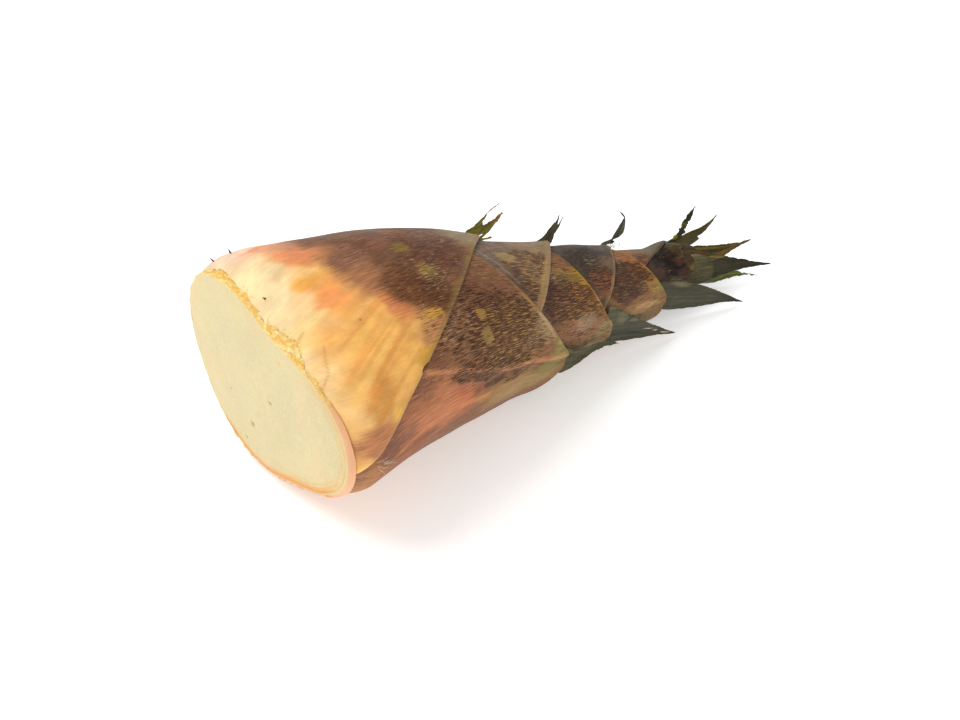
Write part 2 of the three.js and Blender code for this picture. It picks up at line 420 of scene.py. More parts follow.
fleshLook = {
    "wide": (55, 4, 0.55), "fine": (900, 3, 0.6), "pores": (2600, 2, 0.5),      # scale, detail, roughness
    "wideSpan": (0.3, 0.7, 0.95, 1.04), "fineSpan": (0.3, 0.7, 0.97, 1.03), "crumbSpan": (0.35, 0.65, -0.16, 0.16),
    "roughness": (0.3, 0.7, 0.32, 0.5), "specular": 0.4, "poreHeight": 0.4, "crumbHeight": 2.5,
    "soak": 0.25, "soakRadius": (1.0, 0.6, 0.3), "soakDepth": 0.002, "bump": (0.5, 0.0003),
}


def fleshMaterial(look):
    # moist cut flesh: light goes a little way in; soft mottling, tiny fibre ends and a crumbly rim
    material, tree, shader = newMaterial("shootFlesh")
    ground, rough = attribute(tree, "ground", -1300, 300), attribute(tree, "crumble", -1300, 100)
    place = tree.nodes.new("ShaderNodeTexCoord")
    place.location = (-1300, -200)
    wide, fine, pores = (noiseNode(tree, place.outputs["Object"], *look[key], 0, -1000, y)
                         for key, y in (("wide", 200), ("fine", -50), ("pores", -300)))
    tone = calc(tree, "MULTIPLY", remap(tree, wide, look["wideSpan"], -700, 200),
                remap(tree, fine, look["fineSpan"], -700, -50), -500, 100)
    crumbs = remap(tree, fine, look["crumbSpan"], -700, -300)
    crumbs = calc(tree, "MULTIPLY", crumbs, rough.outputs["Fac"], -500, -200)
    tone = calc(tree, "ADD", tone, crumbs, -350, 50)
    tree.links.new(scaleColour(tree, ground.outputs["Color"], tone, -150, 300), shader.inputs["Base Color"])
    tree.links.new(remap(tree, wide, look["roughness"], -350, -150), shader.inputs["Roughness"])
    setSockets(shader, {"Subsurface Weight": look["soak"], "Subsurface Radius": look["soakRadius"],
                        "Subsurface Scale": look["soakDepth"], "Specular IOR Level": look["specular"]})
    lumps = calc(tree, "MULTIPLY", fine, rough.outputs["Fac"], -700, -500)
    height = calc(tree, "ADD", calc(tree, "MULTIPLY", pores, look["poreHeight"], -500, -400),
                  calc(tree, "MULTIPLY", lumps, look["crumbHeight"], -500, -550), -350, -400)
    addBump(tree, shader, height, look["bump"], -150, -200)
    return material


fibreLook = {
    "streak": (0.3, 1.5, 2, 0.5, 0), "streakSpan": (0.3, 0.7, 0.8, 1.2), "roughness": (0.3, 0.7, 0.45, 0.65),
}


def fibreMaterial(look):
    # hairs, bristles and loose fibres, coloured along their length
    material, tree, shader = newMaterial("looseFibre")
    ground, grain = attribute(tree, "ground", -900, 300), attribute(tree, "grain", -900, 0)
    streak = grainNoise(tree, grain, look["streak"], -700, 0)
    tone = remap(tree, streak, look["streakSpan"], -350, 0)
    tree.links.new(scaleColour(tree, ground.outputs["Color"], tone, -150, 300), shader.inputs["Base Color"])
    tree.links.new(remap(tree, streak, look["roughness"], -350, -200), shader.inputs["Roughness"])
    return material


sheathSkin, bladeSkin = sheathMaterial(sheathLook), bladeMaterial(bladeLook)
shootFlesh, looseFibre = fleshMaterial(fleshLook), fibreMaterial(fibreLook)
print("materials made")

# A leaf runs from start to end, its visible part from seenFrom, and extra is how far its tip goes on. Spread is
# the half turn it wraps at its base, taper and blunt shape its margins, blade is the half width left at its tip.
# base colours the ground and markBase the dashes, sparse is how thick the dashes stand everywhere.
# The rest are tables, with a row for each mark, placed by x in mm and turn in degrees:
# patches and spots: [x, turn, half length, half turn, colour, strength]
# dashes, flecks of pale hair, and calm: [x, turn, half length, half turn, amount]
# zones: [x, turn, slope, softness, colour, strength], for everything beyond a slanting line
# strokes: [path, width, colour, strength]; ridges: [path, height, width]
sheaths = {
    1: {"tipTurn": -38, "start": 0, "end": 108, "extra": 3.5, "spread": 132, "backSpread": 117, "taper": 1.05,
        "blunt": 0.7, "blade": 4, "rows": 250, "cells": 36, "seenFrom": 0, "sparse": 0.0,
        "base": (255, 194, 112), "markBase": (92, 50, 34), "edge": (158, 124, 64), "edgeWidth": 4.4,
        "spots": [
            [26, 33, 0.5, 0.9, (120, 66, 40), 0.97], [60, 3, 3.6, 5, (132, 108, 54), 0.97],
            [61, 21, 3.6, 5, (130, 104, 50), 0.97]],
        "zones": [[14, -50, 0.27, 6, (160, 108, 86), 0.9], [25, -50, 0.33, 7, (112, 78, 60), 0.95]],
        "patches": [
            [4, 0, 13, 70, (255, 224, 172), 0.95], [12, -42, 14, 22, (252, 214, 190), 0.85],
            [10, -4, 11, 22, (255, 230, 178), 0.85], [24, -16, 9, 9, (236, 150, 104), 0.9],
            [24, -32, 9, 10, (232, 166, 130), 0.75], [17, 2, 5.5, 8, (255, 184, 84), 0.95],
            [22, 17, 8, 8, (250, 160, 98), 0.85], [10, 26, 8, 12, (255, 222, 150), 0.8],
            [12, 48, 6, 12, (250, 206, 160), 0.75], [38, 0, 7, 10, (136, 96, 80), 0.8],
            [24, 50, 22, 22, (255, 198, 108), 0.85], [40, 34, 6, 10, (206, 126, 88), 0.8],
            [52, 26, 11, 15, (114, 74, 46), 0.9], [60, 36, 9, 12, (96, 64, 40), 0.85],
            [54, -6, 8, 8, (134, 86, 66), 0.7], [66, -13, 7, 6, (150, 100, 62), 0.7],
            [66, -34, 18, 12, (100, 74, 58), 0.7], [58, -28, 7, 5, (132, 112, 62), 0.75],
            [98, -6, 13, 20, (150, 134, 106), 0.9], [98, -45, 12, 26, (134, 118, 96), 0.85],
            [42, 57, 7, 4, (232, 178, 70), 0.85], [50, 44, 5, 3.5, (214, 168, 72), 0.8],
            [24, 76, 9, 5, (248, 196, 104), 0.85], [12, 82, 11, 9, (188, 122, 94), 0.85],
            [18, 68, 9, 7, (214, 150, 78), 0.7], [6, 98, 7, 10, (240, 200, 120), 0.85],
            [18, -100, 20, 30, (240, 200, 142), 0.85], [12, -140, 16, 24, (232, 186, 124), 0.8]],
        "strokes": [
            [[[9, 56], [22, 46], [36, 33]], 1.5, (236, 156, 80), 0.4],
            [[[14, 62], [30, 51], [42, 40]], 1.3, (232, 148, 76), 0.45],
            [[[11, 68], [26, 58], [40, 48]], 1.2, (234, 156, 78), 0.45],
            [[[6, 45], [20, 36], [34, 26]], 1.2, (255, 206, 128), 0.5],
            [[[12, 74], [28, 64], [40, 55]], 1.1, (214, 146, 72), 0.5],
            [[[8, 62], [30, 46]], 0.7, (255, 208, 120), 0.5],
            [[[0, 56], [5, 50], [10, 38]], 0.3, (190, 120, 76), 0.45],
            [[[4, 30], [8, 26]], 0.5, (206, 150, 80), 0.6],
            [[[20, 84], [40, 66], [60, 50], [84, 20]], 0.8, (150, 112, 44), 0.5]],
        "dashes": [
            [58, 24, 16, 24, 0.47], [70, 4, 18, 24, 0.5], [74, -40, 26, 28, 0.5], [44, -6, 9, 12, 0.42],
            [48, 44, 8, 8, 0.42], [64, -90, 22, 34, 0.46]],
        "flecks": [[62, 24, 14, 18, 0.44], [78, -6, 16, 22, 0.42], [74, -40, 20, 22, 0.38]],
        "ridges": [
            [[[6, 34], [30, 24], [55, 8]], 0.35, 4], [[[2, 56], [10, 40]], -0.3, 0.8],
            [[[22, 66], [44, 50]], 0.3, 2.0], [[[10, 62], [36, 46]], 0.28, 1.6],
            [[[14, 74], [40, 57]], 0.25, 1.5]]},
    2: {"tipTurn": 100, "start": 0, "end": 118, "extra": -2.8, "spread": 168, "taper": 2.4, "blunt": 1,
        "blade": 6, "rows": 220, "cells": 37, "seenFrom": 0, "sparse": 0.38, "base": (140, 94, 74),
        "markBase": (62, 30, 20), "edge": (160, 130, 78), "edgeWidth": 6.5,
        "calm": [[40, 94, 32, 15, 0.22], [96, 106, 26, 10, 0.12]],
        "spots": [[72, 61, 3.0, 5.4, (154, 126, 78), 0.97], [73, 49, 2.4, 3.6, (162, 128, 70), 0.97]],
        "patches": [
            [12, 150, 40, 60, (206, 150, 98), 0.8], [22, 92, 13, 9, (128, 80, 66), 0.9],
            [44, 88, 19, 15, (192, 126, 92), 0.95], [30, 108, 18, 14, (150, 92, 68), 0.8],
            [58, 90, 9, 10, (190, 110, 80), 0.6], [80, 97, 18, 8, (156, 122, 74), 0.85],
            [70, 88, 7, 4, (84, 54, 40), 0.8], [94, 110, 24, 14, (162, 134, 90), 0.9],
            [64, 120, 22, 14, (136, 92, 66), 0.8], [104, 98, 10, 8, (128, 122, 66), 0.85],
            [84, 64, 26, 22, (178, 138, 82), 0.95], [60, 62, 12, 14, (150, 108, 76), 0.6],
            [74, 40, 16, 12, (130, 88, 66), 0.8], [88, 26, 12, 12, (136, 98, 70), 0.8],
            [112, 82, 7, 12, (160, 152, 92), 0.95], [106, 62, 7, 8, (180, 150, 108), 0.7],
            [60, 180, 40, 60, (160, 124, 84), 0.7], [62, -110, 34, 30, (136, 94, 70), 0.7]],
        "strokes": [
            # the first stroke is a painted highlight along the crest of the ridge
            [[[40, 66], [60, 74], [80, 84], [100, 88], [114, 91]], 1.3, (222, 154, 108), 0.6],
            [[[60, 78], [80, 88], [100, 92]], 0.8, (104, 66, 44), 0.5],
            [[[102, 55], [108, 66], [113, 76]], 0.5, (232, 222, 196), 0.6],
            [[[96, 46], [104, 60], [108, 74]], 0.5, (216, 190, 150), 0.5],
            [[[24, 96], [50, 92], [70, 98]], 1.6, (216, 140, 96), 0.5]],
        "dashes": [
            [84, 62, 32, 26, 0.55], [68, 74, 18, 12, 0.54], [62, 46, 24, 20, 0.5], [80, 90, 16, 8, 0.5],
            [94, 108, 20, 14, 0.42], [70, -130, 36, 60, 0.46]],
        "flecks": [[104, 66, 12, 16, 0.54], [56, 50, 26, 18, 0.44], [96, 72, 14, 14, 0.4]],
        "ridges": [
            [[[36, 62], [60, 73], [80, 83], [100, 88], [115, 91]], 1.3, 2.4],
            [[[30, 76], [60, 84], [95, 96]], -0.6, 3.0]]},
    3: {"tipTurn": -38, "start": 0, "end": 139, "extra": 4.0, "spread": 170, "taper": 1.9, "blunt": 0.85,
        "blade": 4, "rows": 200, "cells": 28, "seenFrom": 78, "sparse": 0.39, "base": (132, 104, 78),
        "markBase": (66, 36, 28), "edge": (160, 136, 96), "edgeWidth": 6.0,
        "spots": [[104.6, 12.0, 4.8, 6.0, (154, 134, 88), 0.97]],
        "patches": [
            [92, 12, 10, 16, (116, 96, 92), 0.9], [108, -16, 20, 20, (126, 106, 92), 0.85],
            [102, 32, 8, 12, (84, 58, 50), 0.85], [114, 24, 12, 24, (180, 142, 94), 0.85],
            [122, 6, 10, 14, (160, 134, 102), 0.8], [128, -40, 16, 40, (146, 130, 102), 0.85],
            [112, -80, 20, 40, (130, 100, 78), 0.8], [110, 56, 10, 12, (166, 122, 84), 0.8]],
        "strokes": [[[[90, 2], [96, 18], [100, 34]], 0.8, (176, 158, 140), 0.4]],
        "dashes": [
            [114, 24, 16, 30, 0.54], [104, -10, 16, 20, 0.44], [112, -80, 18, 50, 0.46],
            [108, 56, 14, 18, 0.55]],
        "flecks": [[92, 8, 12, 16, 0.42], [114, 24, 14, 26, 0.44]],
        "ridges": [[[[96, 30], [118, 8]], 0.3, 3.0]]},
    4: {"tipTurn": 102, "start": 50, "end": 148, "extra": -3.8, "spread": 170, "taper": 8, "blunt": 1.6,
        "blade": 8, "rows": 200, "cells": 26, "seenFrom": 92, "sparse": 0.43, "base": (142, 100, 70),
        "markBase": (52, 26, 24), "edge": (166, 148, 62), "edgeWidth": 4.6,
        "patches": [
            [111, 44, 10, 14, (112, 76, 58), 0.9], [118, 27, 9, 9, (136, 100, 76), 0.85],
            [130, 58, 15, 22, (188, 138, 84), 0.95], [133, 31, 3.4, 8, (178, 140, 44), 0.95],
            [127, 32, 5, 7, (160, 128, 68), 0.8], [136, 42, 4, 10, (184, 142, 60), 0.8],
            [128, 80, 14, 8, (166, 120, 94), 0.85], [142, 92, 6, 12, (156, 142, 104), 0.9],
            [128, 102, 20, 14, (170, 142, 104), 0.9], [116, 130, 24, 30, (126, 122, 62), 0.85],
            [118, -60, 24, 60, (130, 98, 70), 0.8]],
        "strokes": [[[[138, 22], [142, 45], [143, 72]], 0.9, (190, 176, 80), 0.6]],
        "dashes": [
            [122, 52, 20, 26, 0.56], [134, 60, 12, 24, 0.54], [112, 42, 12, 18, 0.52], [126, 80, 14, 8, 0.48],
            [120, -60, 22, 60, 0.5]],
        "flecks": [[130, 74, 11, 14, 0.56], [122, 30, 12, 14, 0.44]],
        "ridges": [[[[140, 14], [145, 40], [146, 70], [143, 100]], 0.9, 3.4]]},
    5: {"tipTurn": -36, "start": 75, "end": 171, "extra": 1.0, "spread": 170, "taper": 2.6, "blunt": 1,
        "blade": 3, "rows": 170, "cells": 20, "seenFrom": 124, "sparse": 0.39, "base": (82, 70, 60),
        "markBase": (52, 30, 26), "edge": (146, 128, 96), "edgeWidth": 4.6,
        "patches": [
            [146, 8, 14, 18, (58, 50, 46), 0.88], [148, 48, 9, 22, (160, 102, 70), 0.75],
            [160, 22, 7, 12, (134, 108, 88), 0.7], [152, -50, 16, 40, (128, 112, 96), 0.8],
            [152, 66, 8, 16, (164, 102, 68), 0.8]],
        "dashes": [
            [147, 40, 11, 24, 0.52], [146, 8, 14, 14, 0.46], [150, -90, 16, 50, 0.44], [152, 66, 8, 16, 0.52]],
        "flecks": [[148, 20, 12, 20, 0.42]],
        "ridges": [[[[150, 0], [166, -20]], 0.3, 3.0]]},
    6: {"tipTurn": 100, "start": 100, "end": 184, "extra": -3.2, "spread": 165, "taper": 5, "blunt": 1,
        "blade": 7, "rows": 170, "cells": 20, "seenFrom": 140, "sparse": 0.41, "base": (150, 110, 72),
        "markBase": (50, 24, 24), "edge": (150, 142, 84), "edgeWidth": 3.6,
        "patches": [
            [149, 34, 7, 26, (82, 56, 54), 0.9], [165, 12, 6, 6, (176, 118, 84), 0.8],
            [173, 46, 5, 12, (190, 146, 66), 0.9], [169, 38, 7, 24, (182, 128, 78), 0.8],
            [178, 50, 4, 34, (164, 146, 90), 0.7], [166, 86, 13, 9, (192, 164, 122), 0.95],
            [157, 68, 9, 9, (134, 92, 76), 0.7], [164, 120, 18, 24, (140, 128, 80), 0.85],
            [160, -60, 18, 60, (132, 102, 74), 0.8]],
        "dashes": [
            [161, 41, 15, 31, 0.58], [168, 42, 8, 18, 0.54], [155, 64, 10, 12, 0.54], [160, -60, 16, 60, 0.48]],
        "flecks": [[168, 56, 10, 16, 0.42]],
        "ridges": [[[[176, 30], [180, 60], [181, 90]], 0.6, 3.0]]},
    7: {"tipTurn": -30, "start": 125, "end": 200, "extra": 3.0, "spread": 160, "taper": 1, "blunt": 1,
        "blade": 1.6, "rows": 150, "cells": 16, "seenFrom": 160, "sparse": 0.33, "base": (128, 104, 84),
        # the dark edge colour is painted shade along the collar's outline
        "markBase": (66, 40, 34), "edge": (60, 52, 42), "edgeWidth": 2.0,
        "patches": [
            [174, 6, 7, 18, (164, 112, 76), 0.8], [190, -14, 9, 24, (112, 110, 92), 0.95],
            [177, 30, 7, 10, (176, 100, 62), 0.85], [186, -60, 14, 36, (120, 110, 86), 0.8]],
        "dashes": [[176, 22, 8, 20, 0.52], [180, -60, 12, 30, 0.4]]},
    8: {"tipTurn": 60, "start": 150, "end": 204, "extra": -4.5, "spread": 150, "taper": 3, "blunt": 0.9,
        "blade": 6, "rows": 120, "cells": 14, "seenFrom": 176, "sparse": 0.41, "base": (84, 60, 48),
        "markBase": (30, 17, 16), "edge": (130, 100, 62), "edgeWidth": 1.0,
        "patches": [
            # the first patch is the torn mouth's own dark brown, deepened with painted shade behind leaf 7's collar
            [190, 26, 6, 42, (38, 26, 22), 0.94], [197.5, 4, 2.0, 5, (158, 128, 62), 0.9],
            [196, 22, 2.4, 6, (112, 70, 48), 0.75], [193, -8, 2, 5, (110, 96, 70), 0.8],
            [192, 42, 3, 8, (58, 34, 34), 0.85], [197, 50, 3, 8, (104, 60, 56), 0.7],
            [194, 66, 8, 14, (120, 100, 80), 0.85], [190, 100, 12, 24, (112, 102, 76), 0.8]],
        # the near-black strokes are painted shade in the crevices of the torn mouth
        "strokes": [
            [[[186, -6], [191, 14], [190, 30]], 1.6, (22, 15, 13), 0.9],
            [[[190, 30], [194, 40], [197, 38]], 1.2, (28, 18, 18), 0.85],
            [[[188, 44], [193, 54], [197, 60]], 1.6, (30, 19, 18), 0.85],
            [[[187, 8], [193, 2]], 1.0, (30, 22, 16), 0.7]],
        "dashes": [[194, 40, 9, 40, 0.46]],
        "flecks": [[194, 62, 7, 20, 0.44]]},
    9: {"tipTurn": -32, "start": 165, "end": 206, "extra": 0.0, "spread": 140, "taper": 1.5, "blunt": 0.9,
        "blade": 4, "rows": 100, "cells": 12, "seenFrom": 184, "sparse": 0.31, "base": (88, 74, 44),
        "markBase": (38, 26, 20), "edge": (120, 112, 50), "edgeWidth": 1.0,
        "patches": [
            [202, 6, 5, 18, (92, 66, 40), 0.85], [196, -40, 10, 30, (84, 84, 52), 0.8],
            [204, -14, 4, 8, (112, 106, 44), 0.8]],
        "dashes": [[198, 0, 8, 60, 0.48]]},
    10: {"tipTurn": -5, "start": 175, "end": 212, "extra": 0.0, "spread": 130, "taper": 2, "blunt": 0.9,
        "blade": 4, "rows": 100, "cells": 12, "seenFrom": 188, "sparse": 0.33, "base": (84, 66, 40),
        "markBase": (40, 26, 20), "edge": (158, 136, 52), "edgeWidth": 1.2,
        "patches": [
            [204, 22, 6, 16, (84, 60, 38), 0.85], [208, 44, 2.5, 12, (132, 112, 62), 0.8],
            [200, -6, 4, 12, (46, 36, 26), 0.7]],
        "dashes": [[204, 0, 8, 60, 0.46]]},
    11: {"tipTurn": 120, "start": 180, "end": 210, "extra": 0.0, "spread": 120, "taper": 2, "blunt": 0.9,
        "blade": 2, "rows": 90, "cells": 12, "seenFrom": 186, "sparse": 0.25, "base": (92, 92, 46),
        "markBase": (48, 42, 24), "edge": (136, 142, 50), "edgeWidth": 1.0,
        "dashes": [[204, 60, 8, 60, 0.4]]},
}

skinTint = np.array([1.03, 0.97, 0.80])      # warms every sheath colour together
paleTint = np.array([1.0, 0.985, 0.95])
torn = {7: (1.0, 7), 8: (2.4, 5), 9: (2.0, 6), 10: (2.0, 5), 11: (1.5, 4)}   # raggedness mm, size degrees

# width of the crumbly rim before the sheaths start, all the way round
collar = {
    "turns": [-180, -150, -120, -70, -50, -25, -5, 10, 24, 34, 44, 58, 68, 84, 106, 124, 150, 180],
    "widths": [1.6, 1.8, 2.4, 3.0, 3.2, 2.8, 1.6, 2.0, 4.6, 3.4, 1.4, 1.4, 2.2, 2.5, 2.6, 2.0, 1.6, 1.6],
    "ragged": 0.8, "chipTurn": 7, "smoothLip": 0.85, "least": 0.7, "overlap": 0.9,
    "lipStart": (56, 68), "lipEnd": (112, 126),
}

sheathShape = {
    "ratio": 8,                                   # outside cells to each inside cell
    "crowding": 0.22, "tipCrowding": 1.5,         # columns drawn to the margins, rows to the tip
    "hiddenRows": 0.12,                           # share of the rows under other leaves
    "secondStart": 0.25, "coveredStart": 9.0,     # where the second leaf and the covered ones start, mm
    "wave": (0.45, 26, 34), "ripple": (0.18, 11, 15),         # height mm, length mm, width degrees
    "wrinkle": (0.09, 22, 34), "rib": (0.035, 150, 2.0),      # height mm, count across, length or sway
    "tornFrom": 0.55,
    "settle": 2.2, "outerSettle": 0.75, "innerSettle": 0.42,  # margins lie down on the leaf inside them
    "marginRoll": (0.12, 2.2, 1.4),               # height, place and width of the thick line by a margin
    "roundedStart": (0.45, 1.6),                  # depth and length of the rounding at the rim
    "swell": 6.2, "swellFrom": (186, 202), "swellTurn": (-15, 58),  # the mouth: mm out, mm along, degrees
    "swellShare": {7: 0.84}, "swellOthers": 1.06,
}

skinPaint = {
    "wobble": (3.5, 4.0),                         # how far the outlines of patches wander, mm and degrees
    "spotWobble": 0.15, "strokeWobble": 0.12,     # and how much of that for small marks
    "lightFrom": (0.16, 0.5),                     # brightness at which ground starts and ends turning pale
    "orange": (236, 146, 70), "orangeShare": 0.42, "amber": (226, 138, 62), "amberShare": 0.34,
    "vein": 0.10, "veinCalm": 0.75, "blotch": 0.035,
    # painted shade beside the margins of outer leaves: how dark, and how wide in mm
    "shade": 0.55, "shadeWidth": 1.3,
    "margin": 0.55, "marginWander": 0.35, "dry": 0.09, "dryColour": (200, 176, 120),
    "cover": 0.85, "spotCover": 0.3,              # how far margins and spots thin out the dashes
    "grainy": 0.85,                               # how far pale ground loses its fibres
    "hairs": 0.35, "tuftHairs": 0.27,             # pale hairs on sheaths 1 to 6, and on the ones after
    "grainRound": 38, "grainStep": 9.0,           # spreads the veins round the shoot, and parts the leaves
}

# clouds over the skin: (mm along, degrees round, shift, seed, layers)
skinClouds = {
    "wobbleX": (9, 10, 0, 71, 3), "wobbleTurn": (12, 9, 9, 75, 3), "blotch": (7, 8, 0, 91, 1),
    "edge": (8, 8, 0, 95, 3), "dry": (9, 9, 0, 97, 1),
}
# clouds drawn out along the veins: (count across a leaf, mm along, shift, seed, layers)
veinClouds = {
    "vein": (46, 40, 0, 81, 3), "orange": (13, 70, 4, 88, 3), "amber": (42, 60, 9, 98, 2),
}


def skinCloud(key, x, turn):
    # a layered cloud at (x / size + shift, turn / size)
    long, wide, shift, seed, layers = skinClouds[key]
    return layeredCloud(x / long + shift, turn / wide, seed, layers)


def veinCloud(key, number, u, x):
    # a layered cloud at (u * count + shift, x / size), different on each leaf
    count, long, shift, seed, layers = veinClouds[key]
    return layeredCloud(u * count + shift, x / long, seed + number, layers)


def lipShare(turnDegrees):
    # 1 along the smooth raised lip at the lower front, 0 elsewhere
    return smoothBetween(*collar["lipStart"], turnDegrees) * (1 - smoothBetween(*collar["lipEnd"], turnDegrees))


def collarWidth(turnDegrees):
    # straight lines between the stations, made ragged by a cloud except along the lip
    t = (turnDegrees + 180) % 360 - 180
    ragged = layeredCloud(t / collar["chipTurn"], t * 0 + 0.5, 41, 4) * collar["ragged"]
    ragged = ragged * (1 - collar["smoothLip"] * lipShare(t))
    return np.maximum(np.interp(t, collar["turns"], collar["widths"]) + ragged, collar["least"])


def ridgeHeight(x, turn, path, height, width):
    # height * exp(-(d/width)^2), faded in where the path starts
    firstX = min(place[0] for place in path)
    fade = smoothBetween(firstX - 8, firstX + 4, x)
    return height * fade * np.exp(-distanceToPath(x, turn, path) / width**2)


def tuftSwell(number, x, turn):
    # the mouth of the shoot swells at the top where the inner leaves open, mm
    middle, wide = sheathShape["swellTurn"]
    share = sheathShape["swellShare"].get(number, sheathShape["swellOthers"])
    rise = sheathShape["swell"] * smoothBetween(*sheathShape["swellFrom"], x)
    return share * rise * np.exp(-((turn - middle) / wide) ** 2)


def halfWrap(leaf, v, u, depth):
    # degrees from the middle to a margin: blade + (spread - blade) (1 - v^taper)^blunt
    bladeWrap = np.degrees(leaf["blade"] / (girth(leaf["end"]) - depth))
    spread = np.where(u < 0, leaf.get("backSpread", leaf["spread"]), leaf["spread"])
    return bladeWrap + (spread - bladeWrap) * (1 - np.clip(v, 0, 1) ** leaf["taper"]) ** leaf["blunt"]


def shadeUnder(number, x, turn):
    # painted shade beside the margins of the leaves outside this one: exp(-(gap / width)^2), gap in mm
    shade = np.zeros(np.shape(x))
    for outer in range(1, number):
        leaf = sheaths[outer]
        v = (x - leaf["start"]) / (leaf["end"] + leaf["extra"] - leaf["start"])
        away = (turn - leaf["tipTurn"] + 180) % 360 - 180
        wrap = halfWrap(leaf, v, away, (outer - 1) * shoot["layerStep"])
        gap = (np.abs(away) - wrap) * math.pi / 180 * girth(x)
        beside = np.exp(-(np.maximum(gap, 0) / skinPaint["shadeWidth"]) ** 2)
        shade = np.maximum(shade, np.where((v > 0) & (v < 1.02), beside, 0))
    return shade


def sheathPaint(number, leaf, x, turn, u, v, wrap, fromMargin):
    # zones and patches on wobbled places, spots, strokes, veins, shade, margins; then dashes and hairs
    paint = skinPaint
    wobbleX = x + paint["wobble"][0] * skinCloud("wobbleX", x, turn)
    wobbleT = turn + paint["wobble"][1] * skinCloud("wobbleTurn", x, turn)
    ground = np.broadcast_to(linearColour(leaf["base"]), v.shape + (3,))
    for zoneX, zoneTurn, slope, soft, rgb, strength in leaf.get("zones", []):
        beyond = wobbleX - zoneX - slope * (wobbleT - zoneTurn)
        ground = tinted(ground, strength * smoothBetween(-soft, soft, beyond), rgb)
    ground = paintPatches(ground, wobbleX, wobbleT, leaf.get("patches", []))
    spots = leaf.get("spots", [])
    little = paint["spotWobble"]
    ground = paintPatches(ground, x + little * (wobbleX - x), turn + little * (wobbleT - turn), spots)
    little = paint["strokeWobble"]
    for path, wide, rgb, strength in leaf.get("strokes", []):
        near = distanceToPath(x + little * (wobbleX - x), turn + little * (wobbleT - turn), path)
        ground = tinted(ground, strength * np.exp(-near / wide**2), rgb)
    vein = veinCloud("vein", number, u, x)
    light = smoothBetween(*paint["lightFrom"], ground.mean(-1))
    streaks = smoothBetween(-0.2, 1.1, veinCloud("orange", number, u, x)) * smoothBetween(2, 16, x)
    ground = tinted(ground, paint["orangeShare"] * light * streaks, paint["orange"])
    threads = smoothBetween(0.1, 1.0, veinCloud("amber", number, u, x)) * smoothBetween(5, 20, x)
    ground = tinted(ground, paint["amberShare"] * light * threads, paint["amber"])
    blotch = paint["blotch"] * skinCloud("blotch", x, turn)
    tone = 1 + paint["vein"] * (1 - paint["veinCalm"] * light) * vein + blotch
    # painted shade darkens the ground where an outer leaf's margin lies on this one
    ground = ground * (tone * (1 - paint["shade"] * shadeUnder(number, x, turn)))[..., None]
    edgeLine = leaf["edgeWidth"] * (1 + paint["marginWander"] * skinCloud("edge", x, turn))
    margin = (1 - smoothBetween(edgeLine * 0.2, edgeLine, fromMargin)) * smoothBetween(0.0, 0.18, v)
    ground = tinted(ground, paint["margin"] * margin, leaf["edge"])
    thin = (1 - smoothBetween(0.1, 0.6, fromMargin)) * smoothBetween(-0.4, 0.5, skinCloud("dry", x, turn))
    ground = tinted(ground, paint["dry"] * thin, paint["dryColour"])

    cover = np.full(v.shape, leaf["sparse"])
    for *oval, amount in leaf.get("dashes", []):
        cover = np.maximum(cover, amount * (1 - smoothBetween(0.6, 1.5, ovalDistance(wobbleX, wobbleT, oval))))
    cover = cover * (1 - paint["cover"] * margin)
    for *oval, rgb, strength in spots:                       # bare spots stay clear of dashes
        bare = 1 - smoothBetween(0.5, 1.2, ovalDistance(x, turn, oval))
        cover = cover * (1 - paint["spotCover"] * bare)
    for *oval, amount in leaf.get("calm", []):               # and stretches with few dashes
        cover = cover - amount * (1 - smoothBetween(0.6, 1.3, ovalDistance(wobbleX, wobbleT, oval)))
    fleck = (paint["hairs"] if number < 7 else paint["tuftHairs"]) * (1 - light)
    for *oval, amount in leaf.get("flecks", []):
        fleck = np.maximum(fleck, amount * np.exp(-ovalDistance(x, turn, oval) ** 3))
    ground = ground * (skinTint + (paleTint - skinTint) * light[..., None])
    mark = np.broadcast_to(linearColour(leaf["markBase"]) * skinTint, v.shape + (3,))
    around = u * wrap * math.pi / 180 * paint["grainRound"]
    grain = np.stack([around, x, 0 * x + number * paint["grainStep"]], -1)
    return {"ground": withAlpha(ground), "mark": withAlpha(mark), "cover": cover,
            "fleck": fleck, "grain": grain, "grainy": 1 - paint["grainy"] * light}


